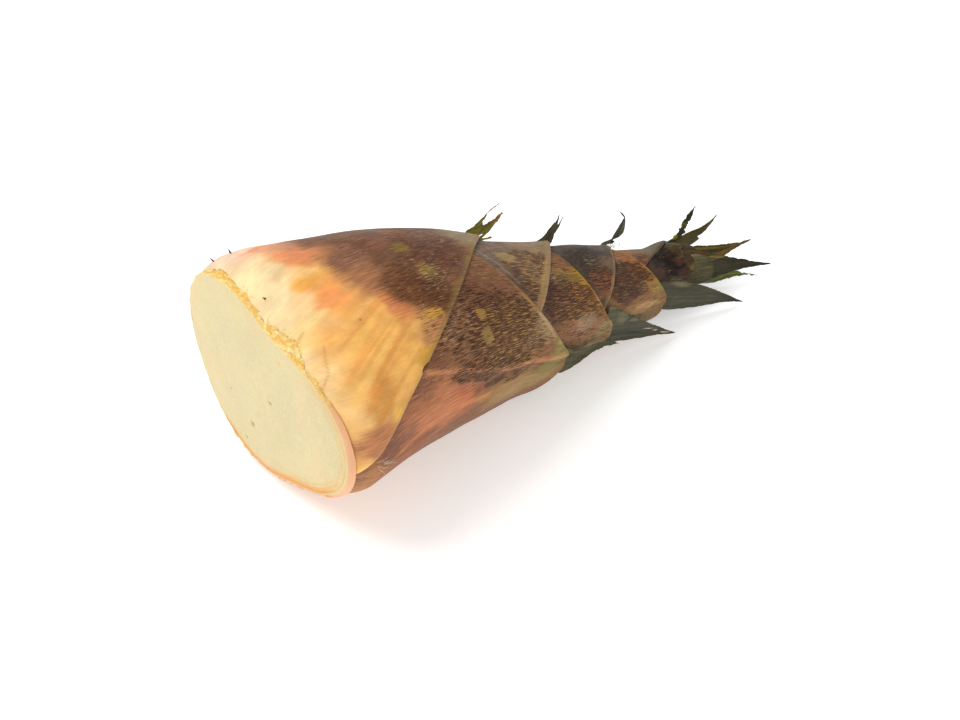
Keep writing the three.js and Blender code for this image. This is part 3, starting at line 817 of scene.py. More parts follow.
def sheathPiece(number, leaf):
    # a closed sheet: rows run round the shoot, columns along the veins from the base to the tip
    shape = sheathShape
    depth = (number - 1) * shoot["layerStep"]
    u, inner = loopAcross(leaf["cells"], shape["ratio"])
    u = u * (1 + shape["crowding"] - shape["crowding"] * u**2)
    seen = (leaf["seenFrom"] - leaf["start"]) / (leaf["end"] - leaf["start"])
    hidden = shape["hiddenRows"] if seen > 0 else 0.0
    q = np.linspace(0, 1, leaf["rows"])
    along = np.clip((q - hidden) / (1 - hidden), 0, 1)
    shown = seen + (1 - seen) * (1 - (1 - along) ** shape["tipCrowding"])
    v = np.where(q < hidden, seen * q / max(hidden, 1e-6), shown)
    v, u = np.meshgrid(v, u, indexing="ij")
    inner = np.broadcast_to(inner, v.shape)
    wrap = halfWrap(leaf, v, u, depth)
    turn = leaf["tipTurn"] + u * wrap
    first = np.full(v.shape, float(leaf["start"]))
    if number <= 2:
        baseTurn = leaf["tipTurn"] + u * halfWrap(leaf, 0 * v, u, depth)
        first = collarWidth(baseTurn) + shape["secondStart"] * (number - 1)
    elif leaf["start"] == 0:
        first = first + shape["coveredStart"]
    x = first + (leaf["end"] + leaf["extra"] - first) * v
    fromMargin = (1 - np.abs(u)) * wrap * math.pi / 180 * girth(x)          # mm
    if number in torn:
        ragged, size = torn[number]
        bite = np.maximum(0, layeredCloud(turn / size, 0 * turn + number, 60 + number, 4))
        x = x - ragged * bite * smoothBetween(shape["tornFrom"], 1, v)

    high, long, wide = shape["wave"]
    waves = high * cloud(x / long + 5, turn / wide + 5, 11)
    high, long, wide = shape["ripple"]
    waves = waves + high * cloud(x / long + 3, turn / wide + 3, 12)
    high, count, long = shape["wrinkle"]
    skin = high * layeredCloud(u * count + number, x / long, 21 + number, 2)
    high, count, sway = shape["rib"]
    skin = skin + high * np.sin(u * count + sway * cloud(x / 30, u * 6, 31))
    lift = waves * smoothBetween(0, 12, x) + skin * (1 - inner) + tuftSwell(number, x, turn)
    for path, height, width in leaf.get("ridges", []):
        lift = lift + ridgeHeight(x, turn, path, height, width)
    settle = 1 - smoothBetween(0, shape["settle"], fromMargin)
    high, place, wide = shape["marginRoll"]
    roll = high * np.exp(-((fromMargin - place) / wide) ** 2)
    outerDepth = depth - lift - roll + shape["outerSettle"] * settle
    innerDepth = depth + shoot["leafThickness"] - lift + shape["innerSettle"] * settle
    if number <= 2:                                                       # rounded start at the rim
        low, long = shape["roundedStart"]
        outerDepth = outerDepth + low * (1 - smoothBetween(0, long, x - first))
    points = bodyPoint(x, np.radians(turn), np.where(inner > 0.5, innerDepth, outerDepth))
    faces = sheetFaces(leaf["rows"], leaf["cells"], shape["ratio"])
    fields = sheathPaint(number, leaf, x, turn, u, v, wrap, fromMargin)
    makePiece("leaf_%02d_sheath" % number, points, faces, ["leaf_%02d" % number], sheathSkin, fields)


for number, leaf in sheaths.items():
    sheathPiece(number, leaf)
print("sheaths made")

bladeTint = np.array([1.0, 0.96, 0.80])
bladeShape = {
    "rows": 90, "cells": 22, "rowCrowding": 0.9,
    "least": 0.08,                                # narrowest a strip gets, mm
    "thick": (0.34, 0.2), "thinEdge": 0.75,       # at the foot, lost by the point, lost at the edges
    "rib": (0.03, 7.5), "ripple": 0.16,
    "sunk": 0.35, "stack": 0.12,                  # a foot lies in its sheath, a strip on the one before, mm
    "offFloor": (0.25, 0.02),                     # the upper side's extra height, and the least height, mm
    "streak": 0.7, "dryEdge": 0.45, "dryColour": (70, 54, 36),
    "seeds": {"low": 300, "high": 400, "ripple": 500, "streak": 600, "dry": 700, "wobble": 801},
}

# every strip lies on a plane through its sheath's tip: lean out, side and roll in degrees;
# outline rows are [along, low edge, high edge] in mm; bend lifts it along, fold across
blades = {
    1: {"base": (96, 92, 28), "tip": (140, 96, 40), "foot": (62, 58, 24), "streak": (176, 130, 34),
        "strips": [
            {"plane": (35, 0, -50), "bend": 0.5, "fold": 0.8, "ragged": 0.25,
             "outline": [
                 [-3, -2.5, 2.5], [2, -1.9, 1.6], [6.6, -1.7, 2.4], [12, -2, -0.6], [16.8, -2.5, -1.9],
                 [24, -2.1, -1.8]]},
            {"plane": (35, 0, -50), "bend": -0.6, "fold": 0.9, "ragged": 0.3,
             "outline": [
                 [-3, -2, 3.5], [4.5, -0.8, 3.6], [8.6, 0.3, 4.4], [13, 0.9, 3.6], [17.5, 1, 2.6],
                 [23, 0.6, 0.9]]},
            {"plane": (33, 0, -46), "bend": 0.8, "fold": 0.1, "ragged": 0.1,
             "outline": [[3, 3.4, 4.9], [7.6, 3.9, 4.7], [10.5, 4.1, 4.5], [13.5, 3.9, 4.1]]},
            {"plane": (22, 0, -40), "bend": 0.3, "fold": 0.1, "ragged": 0.4,
             "outline": [[1, 3.4, 5.2], [4, 4.2, 6.0], [6, 5.4, 6.4], [8, 6.2, 6.5]]}]},
    2: {"base": (66, 66, 34), "tip": (54, 54, 32), "foot": (84, 82, 46), "streak": (40, 38, 24),
        "strips": [
            {"plane": (3, 15, 0), "bend": 0.4, "fold": 0.8, "ragged": 0.35,
             "outline": [
                 [-6, -5, 8.5], [0, -3.6, 8.5], [4, -3.8, 7.6], [8, -4.3, 3.6], [14.5, -5.4, -1.0],
                 [22, -6.2, -3.7], [30.4, -4.8, -4.5]]}]},
    3: {"base": (56, 52, 36), "tip": (74, 70, 48), "foot": (38, 34, 22), "streak": (88, 84, 62),
        "strips": [
            {"plane": (35, 0, -50), "bend": 0.6, "fold": 1.0, "ragged": 0.15,
             "outline": [[-3, -1.5, 6.2], [0.5, 0, 6.6], [4.2, 0.7, 5.2], [8.9, 0.9, 3.6], [12.4, 0.9, 3.0]]},
            {"plane": (35, 0, -50), "bend": 0.5, "fold": 0.2, "ragged": 0.1,
             "outline": [[9, 0.9, 2.9], [12.4, 0.9, 2.1], [14.4, 0.6, 1.5], [17.1, 0, 0.4]]},
            {"plane": (34, 0, -50), "bend": 0.6, "fold": 0.2, "ragged": 0.1,
             "outline": [[9, 1.4, 3.5], [12.5, 2.0, 3.0], [14.7, 1.9, 2.4], [17, 1.7, 1.9]]}]},
    4: {"base": (66, 66, 50), "tip": (52, 48, 34), "foot": (92, 90, 70), "streak": (40, 40, 30),
        "patches": [
            [1, -6, 3, 3, (146, 142, 122), 0.35], [8.4, -4.6, 2.5, 1.2, (150, 146, 128), 0.3],
            [19.7, 1.4, 2.6, 0.35, (214, 208, 192), 0.9], [24.5, 2.7, 1.3, 0.4, (222, 216, 200), 0.9],
            [31.3, 4.0, 2.4, 0.3, (220, 214, 198), 0.85], [30, 5.2, 6, 0.7, (92, 56, 36), 0.7],
            [14, -3.6, 9, 0.7, (84, 62, 42), 0.5]],
        "strips": [
            {"plane": (9, 8, 0), "bend": 0.8, "fold": 1.0, "ragged": 0.2,
             "outline": [
                 [-8, -12, 8.2], [0, -9, 7.9], [5, -7.2, 7.5], [10, -5.3, 7.2], [15, -3.4, 6.9],
                 [20, -1.5, 6.5], [25, 0.3, 6], [30, 2.1, 5.5], [33.5, 3.3, 5.1], [36.9, 4.4, 4.7]]}]},
    5: {"base": (64, 64, 56), "tip": (42, 40, 34), "foot": (34, 30, 22), "streak": (92, 92, 82),
        "strips": [
            {"plane": (35, 0, -50), "bend": 0.2, "fold": 0.4, "ragged": 0.2,
             "outline": [[-3, -2.5, -0.3], [0, -2.2, 0.8], [2.6, -0.5, 2.5], [4.6, 0.6, 2.8]]},
            {"plane": (50, 0, -50), "bend": -0.8, "fold": 0.6, "ragged": 0.1,
             "outline": [
                 [3, 2.0, 2.9], [4.3, 2.0, 2.8], [6.3, 2.1, 4.4], [9.9, 2.5, 5.4], [13.6, 2.7, 4.5],
                 [16.7, 2.8, 3.4], [18, 1.4, 2.6], [19.5, -0.2, 0.8]]}]},
    6: {"base": (64, 64, 52), "tip": (44, 44, 32), "foot": (78, 76, 62), "streak": (88, 86, 70),
        "patches": [[4, -8.2, 5, 1.5, (132, 128, 110), 0.45]],
        "strips": [
            {"plane": (19, 4, 0), "bend": 0.6, "fold": 0.8, "ragged": 0.15,
             "outline": [
                 [-7, -9.2, 5], [0, -9.2, 5], [5, -8.9, 4.7], [10, -8.4, 4.2], [16, -7.3, 3.4], [22, -5.7, 2.2],
                 [28, -3.8, 0.9], [33.5, -1.9, 0.3], [39.1, -0.1, 0.1]]}]},
    7: {"base": (48, 46, 20), "tip": (54, 52, 36), "foot": (56, 54, 22), "streak": (32, 28, 16),
        "patches": [[10.8, -0.4, 1.9, 1.5, (140, 142, 30), 0.85], [18, 0, 1.5, 1.5, (90, 92, 30), 0.6]],
        "strips": [
            {"plane": (40, 0, -50), "bend": 0.2, "fold": 0.4, "ragged": 0.5,
             "outline": [
                 [2, -1.5, 1.5], [6, -1, 1.8], [10.2, -0.6, 1.6], [13.8, -0.5, 2.2], [16.2, -0.7, 1.6],
                 [18.8, -0.5, 0.7]]},
            {"plane": (42, 0, -50), "bend": 0.4, "fold": 0.3, "ragged": 0.35,
             "outline": [
                 [17.2, -0.7, 0.8], [19, -0.9, 1.1], [21.9, -1.1, 1.0], [26, -1.3, 0.3], [29.4, -0.7, -0.4]]}]},
    8: {"base": (60, 58, 42), "tip": (40, 38, 28), "foot": (74, 58, 44), "streak": (32, 30, 20),
        "patches": [
            [2, -8.6, 9, 1.6, (98, 66, 40), 0.8], [9, -6.2, 9, 0.7, (134, 120, 66), 0.7],
            [-7, -4, 4, 5, (92, 56, 52), 0.8], [3, 3, 8, 1.2, (128, 124, 92), 0.6]],
        "strips": [
            {"plane": (15, 2, 0), "bend": 0.8, "fold": 0.9, "ragged": 0.15,
             "outline": [
                 [-9, -13, 1.0], [-3, -12, 2.2], [2, -10.3, 3.7], [8, -8.2, 2.7], [15, -5.8, 1.2],
                 [22, -4.2, 0.5], [30, -2.4, 0.0], [39.5, -0.2, 0.1]]},
            {"plane": (16.5, 2, 0), "bend": 0.8, "fold": 0.3, "ragged": 0.25,
             "outline": [
                 [-4, -13.0, -11.5], [-1, -12.6, -10], [3, -11.2, -8.6], [10, -8.4, -6.4], [18, -5.9, -4.4],
                 [27, -3.4, -2.9]]},
            {"plane": (16, 2, 0), "bend": 0.3, "fold": 0.5, "ragged": 0.2,
             "patches": [
                 [1, -3, 12, 9, (94, 90, 66), 0.9], [2, -8.4, 9, 0.6, (150, 146, 118), 0.7],
                 [-7, -4, 4, 5, (92, 56, 52), 0.8]],
             "outline": [
                 [-9, -10, 1.2], [-3, -9.4, 2.2], [2, -8.7, 3.2], [5.5, -8.0, 2.6], [7.6, -7.2, 1.6],
                 [9.4, -5.4, -1.2]]}]},
    9: {"base": (68, 62, 24), "tip": (80, 78, 40), "foot": (44, 40, 18), "streak": (44, 40, 18),
        "strips": [
            {"plane": (30, 0, -30), "bend": 0.9, "fold": 0.9, "ragged": 0.2,
             "outline": [
                 [0, -5, -1], [5, -7.3, -1.2], [9, -7.5, 1.2], [12.5, -7.3, 2.5], [14.8, -6.4, 2.6],
                 [16, -5.9, 1.2], [18, -4.5, 2.1], [21, -1.8, 2.1], [25, 0.1, 2.2], [28, 1.1, 2.1],
                 [31, 1.7, 2.0]]}]},
    10: {"base": (62, 54, 30), "tip": (66, 58, 42), "foot": (44, 38, 20), "streak": (132, 124, 34),
        "patches": [
            [13, 3.2, 4, 1.0, (120, 74, 34), 0.7], [9, 3.6, 3, 0.8, (140, 134, 44), 0.6],
            [20, 2.6, 6, 0.8, (112, 70, 40), 0.5]],
        "strips": [
            {"plane": (16, 12, -40), "bend": 0.5, "fold": 0.8, "ragged": 0.2,
             "outline": [
                 [-7, -6, 3], [-3, -5.6, 2.4], [2, -5.2, 1.4], [6, -4.2, 1.6], [9, -3, 2.8], [12, -2, 4.1],
                 [15, -1, 4.2], [18, -0.1, 3.4], [21, 0.8, 3.1], [24, 1.4, 2.7], [28.6, 2.0, 2.3]]}]},
    11: {"base": (58, 62, 24), "tip": (66, 66, 38), "foot": (52, 54, 26), "streak": (122, 130, 38),
        "strips": [
            {"plane": (22, -5, 0), "bend": 0.5, "fold": 0.3, "ragged": 0.45,
             "outline": [
                 [-2, -2, 3], [3, 1, 5.5], [7, -0.3, 4.4], [11, -2.6, 2.4], [16, -3.5, 0], [23, -2.8, -1.4],
                 [30, -1.4, -1]]}]},
}


def tipFrame(number):
    # where a sheath tip sits: forward along the shoot, sideways round it, outward from it
    leaf = sheaths[number]
    depth = (number - 1) * shoot["layerStep"]
    turn = math.radians(leaf["tipTurn"])
    tip = bodyPoint(float(leaf["end"]), turn, depth)
    forward = tip - bodyPoint(leaf["end"] - 0.5, turn, depth)
    forward /= np.linalg.norm(forward)
    sideways = bodyPoint(float(leaf["end"]), turn + 0.01, depth) - tip
    sideways -= forward * (sideways @ forward)
    sideways /= np.linalg.norm(sideways)
    outward = np.cross(sideways, forward)
    spoke = np.array([0, tip[1], tip[2] - float(centreHeight(leaf["end"]))])
    outward *= np.sign(outward @ spoke)
    return tip, forward, sideways, outward, np.linalg.norm(spoke)


def stripPoints(number, k, strip):
    # point = tip + along * direction + across * side + lift * normal, where lift bends with the
    # square of the length, folds up from the middle line and sags round the shoot near the foot
    shape, seeds = bladeShape, bladeShape["seeds"]
    tip, forward, sideways, outward, radius = tipFrame(number)
    lean, side, roll = np.radians(strip["plane"])
    outline = np.asarray(strip["outline"], float)
    direction = (math.cos(lean) * (math.cos(side) * forward + math.sin(side) * sideways)
                 + math.sin(lean) * outward)
    flat = sideways - direction * (sideways @ direction)
    flat /= np.linalg.norm(flat)
    normal = np.cross(direction, flat)
    normal *= np.sign(normal @ outward)
    u, under = loopAcross(shape["cells"], 1)
    length = outline[-1, 0] - outline[0, 0]
    a = outline[0, 0] + length * np.linspace(0, 1, shape["rows"]) ** shape["rowCrowding"]
    a, u = np.meshgrid(a, u, indexing="ij")
    under = np.broadcast_to(under, a.shape)
    t = (a - outline[0, 0]) / length
    tooth = strip["ragged"] * smoothBetween(0.02, 0.2, t)
    low = curveThrough(a, outline[:, 0], outline[:, 1])
    low = low + tooth * layeredCloud(a / 1.7, 0 * a + k, seeds["low"] + number * 7 + k, 3)
    high = curveThrough(a, outline[:, 0], outline[:, 2])
    high = high + tooth * layeredCloud(a / 1.5, 0 * a + k + 9, seeds["high"] + number * 7 + k, 3)
    width = np.maximum(high - low, shape["least"])
    across = (low + high) / 2 + u * width / 2
    thickness = (shape["thick"][0] - shape["thick"][1] * t) * (1 - shape["thinEdge"] * np.abs(u) ** 3)
    fold = strip["fold"] * (np.sqrt(u**2 + 0.05) - 0.6) * np.minimum(width / 8, 1)
    fold = fold * (0.4 + 0.6 * smoothBetween(0, 0.4, t))
    ribs = shape["rib"][0] * np.sin(across * shape["rib"][1])
    ripple = layeredCloud(a / 9, across / 2.5, seeds["ripple"] + number, 3) * smoothBetween(0.05, 0.3, t)
    sag = across**2 / (2 * radius) * (1 - 0.6 * np.clip(a / length, 0, 1))
    sag = sag * (1 if abs(roll) < 0.1 else 0.25)
    sunk = shape["sunk"] * (1 - smoothBetween(-1, 2, a))
    lift = (strip["bend"] * 4 * t**2 * (t - 0.35) + fold + ribs + shape["ripple"] * ripple - sag - sunk
            - under * thickness + shape["stack"] * k)
    twist = roll * smoothBetween(-1.5, 4, a)
    sideAxis = np.cos(twist)[..., None] * flat + np.sin(twist)[..., None] * normal
    liftAxis = np.cos(twist)[..., None] * normal - np.sin(twist)[..., None] * flat
    points = tip + a[..., None] * direction + across[..., None] * sideAxis + lift[..., None] * liftAxis
    upper, lower = shape["offFloor"]
    points[..., 2] = np.maximum(points[..., 2], upper * (1 - under) + lower)
    return points, a, t, u, across


def stripPaint(number, k, blade, strip, a, t, u, across):
    # base colour, foot and point, streaks along the veins, a dry edge, then the painted patches
    seeds = bladeShape["seeds"]
    colour = linearColour(blade["base"]) + 0 * a[..., None]
    colour = tinted(colour, 1 - smoothBetween(0.0, 0.32, t), blade["foot"])
    colour = tinted(colour, smoothBetween(0.55, 1.0, t), blade["tip"])
    streaks = smoothBetween(0.25, 0.8, layeredCloud(u * 5 + k * 3, a / 22, seeds["streak"] + number, 3))
    colour = tinted(colour, bladeShape["streak"] * streaks, blade["streak"])
    dry = smoothBetween(0.8, 1.0, np.abs(u)) * smoothBetween(-0.2, 0.6, cloud(a / 4, u + k, seeds["dry"] + number))
    colour = tinted(colour, bladeShape["dryEdge"] * dry, bladeShape["dryColour"])
    wobbleA = a + 0.8 * cloud(a / 3, across / 2, seeds["wobble"])
    wobbleAcross = across + 0.3 * cloud(a / 2, across, seeds["wobble"] + 1)
    return paintPatches(colour, wobbleA, wobbleAcross, strip.get("patches", blade.get("patches", []))) * bladeTint


def bladePiece(number, blade):
    # the strips one after another in one mesh
    faces, count, parts = [], 0, {"points": [], "ground": [], "grain": []}
    stripFaces = sheetFaces(bladeShape["rows"], bladeShape["cells"], 1)
    for k, strip in enumerate(blade["strips"]):
        points, a, t, u, across = stripPoints(number, k, strip)
        faces += [[i + count for i in face] for face in stripFaces]
        count += a.size
        colour = stripPaint(number, k, blade, strip, a, t, u, across)
        parts["points"].append(points.reshape(-1, 3))
        parts["ground"].append(withAlpha(colour).reshape(-1, 4))
        parts["grain"].append(np.stack([across, a, 0 * a + 5.0 * k], -1).reshape(-1, 3))
    fields = {key: np.concatenate(value) for key, value in parts.items()}
    points = fields.pop("points")
    makePiece("leaf_%02d_blade" % number, points, faces, ["leaf_%02d" % number], bladeSkin, fields)


for number, blade in blades.items():
    bladePiece(number, blade)
print("blades made")

flesh = {
    "around": 420, "faceRings": 46, "edgeRings": 12, "bandRings": 12, "coreRings": 40,
    "face": (219, 203, 153), "green": (208, 197, 142), "pink": (224, 198, 150), "ring": (226, 176, 76),
    "golden": (240, 190, 92), "crumb": (252, 224, 150), "lip": (246, 184, 138), "orange": (226, 150, 60),
    "core": (236, 220, 168), "bud": (84, 80, 42), "under": (140, 92, 50),
    "rounding": (0.9, 0.9, 0.4),                  # of the edge in mm, and more along the lip and the bottom
    "rimDepth": (0.35, -0.5, 0.3),                # the same for how deep the rim lies
    "dent": 0.22, "dish": 0.5, "bump": 0.10, "greenShare": 0.35, "pinkShare": 0.4,
    "growthLines": [(1.0, 0.4, 0.8), (2.5, 0.35, 0.7), (4.1, 0.45, 0.5)],     # mm from the edge, width, strength
    "lineStep": 0.22, "pitDepth": 0.5, "pitColour": 0.8,
    "clouds": {"dent": (17, 15, 801, 3), "bump": (6, 5, 805, 3), "green": (16, 20, 811, 3), "pink": (9, 12, 821, 3)},
    "chip": (0.5, 0.55), "crumbly": 0.9, "bandEnd": 0.25, "bandDark": 0.3,
    "tuckDepths": (1.6, 3.0, 4.6), "coreFrom": 7.5, "coreTo": 214, "coreTaper": (190, 0.75), "budFrom": (150, 185),
    "pits": [[-14, 62, 0.9, (226, 196, 110)], [8, 22, 1.1, (170, 120, 70)], [-6, 40, 0.4, (120, 90, 60)],
             [22, 30, 0.5, (180, 140, 90)], [14, 12, 0.6, (200, 160, 100)]],  # y, z, size mm, colour
}


def faceCloud(key, y, z):
    # clouds over the cut face: mm across, mm up, seed, layers
    wide, high, seed, layers = flesh["clouds"][key]
    return layeredCloud(y / wide, z / high, seed, layers)


def culmPiece(flesh):
    # rings from the middle of the face out to the rim, round the edge, along the band and down into the core
    turns = np.arange(flesh["around"]) * 2 * math.pi / flesh["around"]
    degrees = (np.degrees(turns) + 180) % 360 - 180
    zero = 0 * turns
    lip = lipShare(degrees)
    lower = np.clip(smoothBetween(104, 122, degrees) + smoothBetween(-128, -150, degrees), 0, 1)
    roundness = flesh["rounding"][0] + flesh["rounding"][1] * lip + flesh["rounding"][2] * lower
    rimDepth = flesh["rimDepth"][0] + flesh["rimDepth"][1] * lip + flesh["rimDepth"][2] * lower
    width = collarWidth(degrees) + collar["overlap"] * (1 - lip)
    rings, colours, crumbles = [], [], []

    def addRing(x, depth, share, colour, crumble):
        rim = bodyPoint(x, turns, depth)
        middle = np.stack([np.mean(x) + zero, zero, centreHeight(x) + zero], -1)
        ring = middle + (rim - middle) * (share + zero)[:, None]
        ring[:, 0] = x
        ring[:, 2] = np.maximum(ring[:, 2], 0.0)
        rings.append(ring)
        colours.append(np.broadcast_to(colour, (len(turns), 3)))
        crumbles.append(crumble + zero)

    def rimColour(chips):
        colour = tinted(linearColour(flesh["golden"]), smoothBetween(-0.3, 0.8, chips), flesh["crumb"])
        return tinted(tinted(colour, lip, flesh["lip"]), lower * 0.7, flesh["orange"])

    face = linearColour(flesh["face"])
    flat = bodyPoint(0.0, turns, rimDepth + roundness)
    height = centreHeight(0.0)
    ringShare = smoothBetween(35, 66, degrees) * (1 - smoothBetween(150, 175, degrees)) + 0.12
    for share in np.linspace(0, 1, flesh["faceRings"]) ** 0.8:
        y, z = flat[:, 1] * share, height + (flat[:, 2] - height) * share
        fromEdge = (1 - share) * np.hypot(flat[:, 1], flat[:, 2] - height)
        x = flesh["dent"] * faceCloud("dent", y, z) - flesh["dish"] * (1 - share**2)
        x = x + flesh["bump"] * smoothBetween(0.4, 0.9, faceCloud("bump", y, z))
        greenShare = flesh["greenShare"] * smoothBetween(-0.1, 0.9, faceCloud("green", y, z))
        pinkShare = flesh["pinkShare"] * smoothBetween(0.0, 1.0, faceCloud("pink", y, z))
        colour = tinted(tinted(face, greenShare, flesh["green"]), pinkShare, flesh["pink"])
        wavy = fromEdge + 0.35 * cloud(degrees / 9, 0 * degrees, 831)
        lines = sum(strength * np.exp(-((wavy - at) / wide) ** 2) for at, wide, strength in flesh["growthLines"])
        lines = np.clip(lines * ringShare, 0, 1)
        colour = tinted(colour, lines, flesh["ring"])
        x = x + flesh["lineStep"] * lines
        for pitY, pitZ, size, rgb in flesh["pits"]:
            pit = np.exp(-(((y - pitY) ** 2 + (z - pitZ) ** 2) / size**2))
            x = x + flesh["pitDepth"] * pit
            colour = tinted(colour, flesh["pitColour"] * pit, rgb)
        colour = tinted(colour, lower * np.exp(-((fromEdge - 0.6) / 1.3) ** 2), flesh["orange"])
        addRing(x, rimDepth + roundness, share, colour, 0.08)
    for s in np.linspace(0, 1, flesh["edgeRings"] + 1)[1:]:
        angle = s * math.pi / 2
        chips = layeredCloud(degrees / 3.2, 0 * degrees + 3 * s, 841, 4)
        rough = (1 - lip) * s
        depth = rimDepth + roundness * (1 - math.sin(angle)) + flesh["chip"][0] * rough * chips
        x = roundness * (1 - math.cos(angle))
        x = x + (0.25 + 0.7 * lower) * rough * layeredCloud(degrees / 2.5, 0 * degrees + 2 * s, 846, 3)
        mix = smoothBetween(0.0, 0.55, s)
        addRing(x, depth, 1, face + mix * (rimColour(chips) - face), flesh["crumbly"] * rough)
    for s in np.linspace(0, 1, flesh["bandRings"] + 1)[1:]:
        x = roundness + (width - flesh["bandEnd"] - roundness) * s
        chips = layeredCloud(degrees / 3.2, 3 + s * 1.8 + 0 * degrees, 841, 4)
        depth = rimDepth + (1 - lip) * (flesh["chip"][1] * chips + 0.25 * s)
        darker = 1 - flesh["bandDark"] * smoothBetween(0.8, 1.0, s)
        addRing(x, depth, 1, rimColour(chips) * darker, flesh["crumbly"] * (1 - lip))
    for depth in flesh["tuckDepths"]:
        addRing(width - flesh["bandEnd"] + 0.05 * depth, depth + zero, 1, linearColour(flesh["under"]), 0)
    for x in np.linspace(flesh["coreFrom"], flesh["coreTo"], flesh["coreRings"]):
        depth = np.interp(x, core["x"], core["depth"]) + 0.5
        share = 1 - flesh["coreTaper"][1] * smoothBetween(flesh["coreTaper"][0], flesh["coreTo"], x)
        colour = tinted(linearColour(flesh["core"]), smoothBetween(*flesh["budFrom"], x), flesh["bud"])
        addRing(x + zero, depth, share, colour, 0.1)
    points = np.stack(rings)[1:]                                    # the first ring is the face's middle point
    colour, crumble = np.stack(colours)[1:], np.stack(crumbles)[1:]
    ends = [rings[0].mean(0), points[-1].mean(0)]
    rows, n = points.shape[:2]
    faces = ringQuads(rows, n).tolist()
    first, last = rows * n, rows * n + 1
    faces += [[first, (m + 1) % n, m] for m in range(n)]
    faces += [[last, (rows - 1) * n + m, (rows - 1) * n + (m + 1) % n] for m in range(n)]
    points = np.concatenate([points.reshape(-1, 3), ends])
    colour = np.concatenate([colour.reshape(-1, 3), [colour[0, 0], colour[-1, 0]]])
    crumble = np.concatenate([crumble.ravel(), [0.1, 0.1]])
    fields = {"ground": withAlpha(colour), "crumble": crumble}
    makePiece("shoot_flesh", points, faces, ["culm"], shootFlesh, fields)


culmPiece(flesh)
print("flesh made")


def fibrePiece(name, foot, direction, length, thick, colour, bow, seed):
    # tapered tubes: centre = foot + direction * s * length + bow * s^2, radius = thick (1 - 0.85 s)
    rng = np.random.default_rng(seed)
    count, steps, sides = len(foot), 6, 6
    s = np.linspace(0, 1, steps)
    centre = (foot[:, None] + direction[:, None] * (s[None, :, None] * length[:, None, None])
              + bow[:, None] * (s**2)[None, :, None])
    helper = np.where(np.abs(direction[:, 2:3]) < 0.8, np.array([[0.0, 0, 1]]), np.array([[1.0, 0, 0]]))
    a = np.cross(direction, helper)
    a /= np.linalg.norm(a, axis=1)[:, None]
    b = np.cross(direction, a)
    angle = np.arange(sides) * 2 * math.pi / sides
    circle = np.cos(angle)[None, :, None] * a[:, None] + np.sin(angle)[None, :, None] * b[:, None]
    knobbly = 1 + 0.15 * rng.standard_normal((count, steps))
    radius = thick * (1 - 0.85 * s)[None] * knobbly
    points = centre[:, :, None] + circle[:, None] * radius[:, :, None, None]
    points[..., 2] = np.maximum(points[..., 2], 0.02)
    block = steps * sides
    one = ringQuads(steps, sides)
    faces = []
    for h in range(count):
        faces += (one + h * block).tolist()
        faces.append([h * block + m for m in range(sides)][::-1])
        faces.append([h * block + (steps - 1) * sides + m for m in range(sides)])
    tone = 0.8 + 0.4 * rng.random((count, 1, 1, 1))
    colours = linearColour(colour) * tone * np.ones((count, steps, sides, 3)) * (1 + 0.3 * s)[None, :, None, None]
    grain = np.broadcast_to(np.stack([0 * s, s * 3, 0 * s], -1)[None, :, None], points.shape)
    makePiece(name, points, faces, [], looseFibre, {"ground": withAlpha(colours), "grain": grain})


def outwardAt(x, turn, depth):
    # unit normal of the body, from small steps along and round it
    here = bodyPoint(x, turn, depth)
    along = bodyPoint(x + 0.3, turn, depth) - here
    around = bodyPoint(x, turn + 0.01, depth) - here
    normal = np.cross(around, along)
    normal /= np.linalg.norm(normal, axis=-1)[..., None]
    spoke = here - np.stack([x, 0 * x, centreHeight(x)], -1)
    normal = normal * np.sign((normal * spoke).sum(-1))[..., None]
    return here, normal, along / np.linalg.norm(along, axis=-1)[..., None]


rootStubs = {"turns": [-46, -40, -3], "x": [7, 12, 6], "depth": 0.2, "sunk": 0.4, "length": 2.6, "thick": 0.5,
             "colour": (90, 74, 60), "leanBack": 0.2, "seed": 5}

# hairs scattered over a patch from x to x and turn to turn, leaning forward along the shoot
bristles = {
    "collar_bristles": {"count": 16, "x": (168, 176), "turns": (-34, -8), "depth": 6.4, "length": 4.0, "thick": 0.10,
                        "colour": (120, 100, 74), "forward": 0.9, "spread": 0.35, "slot": "sheath", "seed": 17},
    "mouth_threads": {"count": 60, "x": (186, 204), "turns": (0, 84), "depth": 9.6, "length": 2.2, "thick": 0.09,
                      "colour": (150, 120, 84), "forward": 1.2, "spread": 0.6, "slot": "green_tip", "seed": 19},
    "margin_threads": {"count": 10, "x": (10, 15), "turns": (90, 96), "depth": 0.6, "length": 3.2, "thick": 0.07,
                       "colour": (244, 226, 196), "forward": 1.4, "spread": 0.4, "slot": "outer_sheath", "seed": 23},
    "rim_shreds": {"count": 46, "x": (2.5, 5.5), "turns": (-52, 62), "depth": 0.5, "length": 1.5, "thick": 0.22,
                   "colour": (250, 214, 132), "forward": 0.4, "spread": 0.5, "slot": "flesh", "seed": 29},
}


def stubPiece(stubs):
    # short stubs standing on the outer sheath, leaning back towards the cut
    x, turn = np.array(stubs["x"], float), np.radians(np.array(stubs["turns"], float))
    here, normal, along = outwardAt(x, turn, stubs["depth"])
    direction = normal - stubs["leanBack"] * along
    fibrePiece("root_stubs", here - normal * stubs["sunk"], direction, np.full(len(x), stubs["length"]),
               stubs["thick"], stubs["colour"], 0 * here, stubs["seed"])


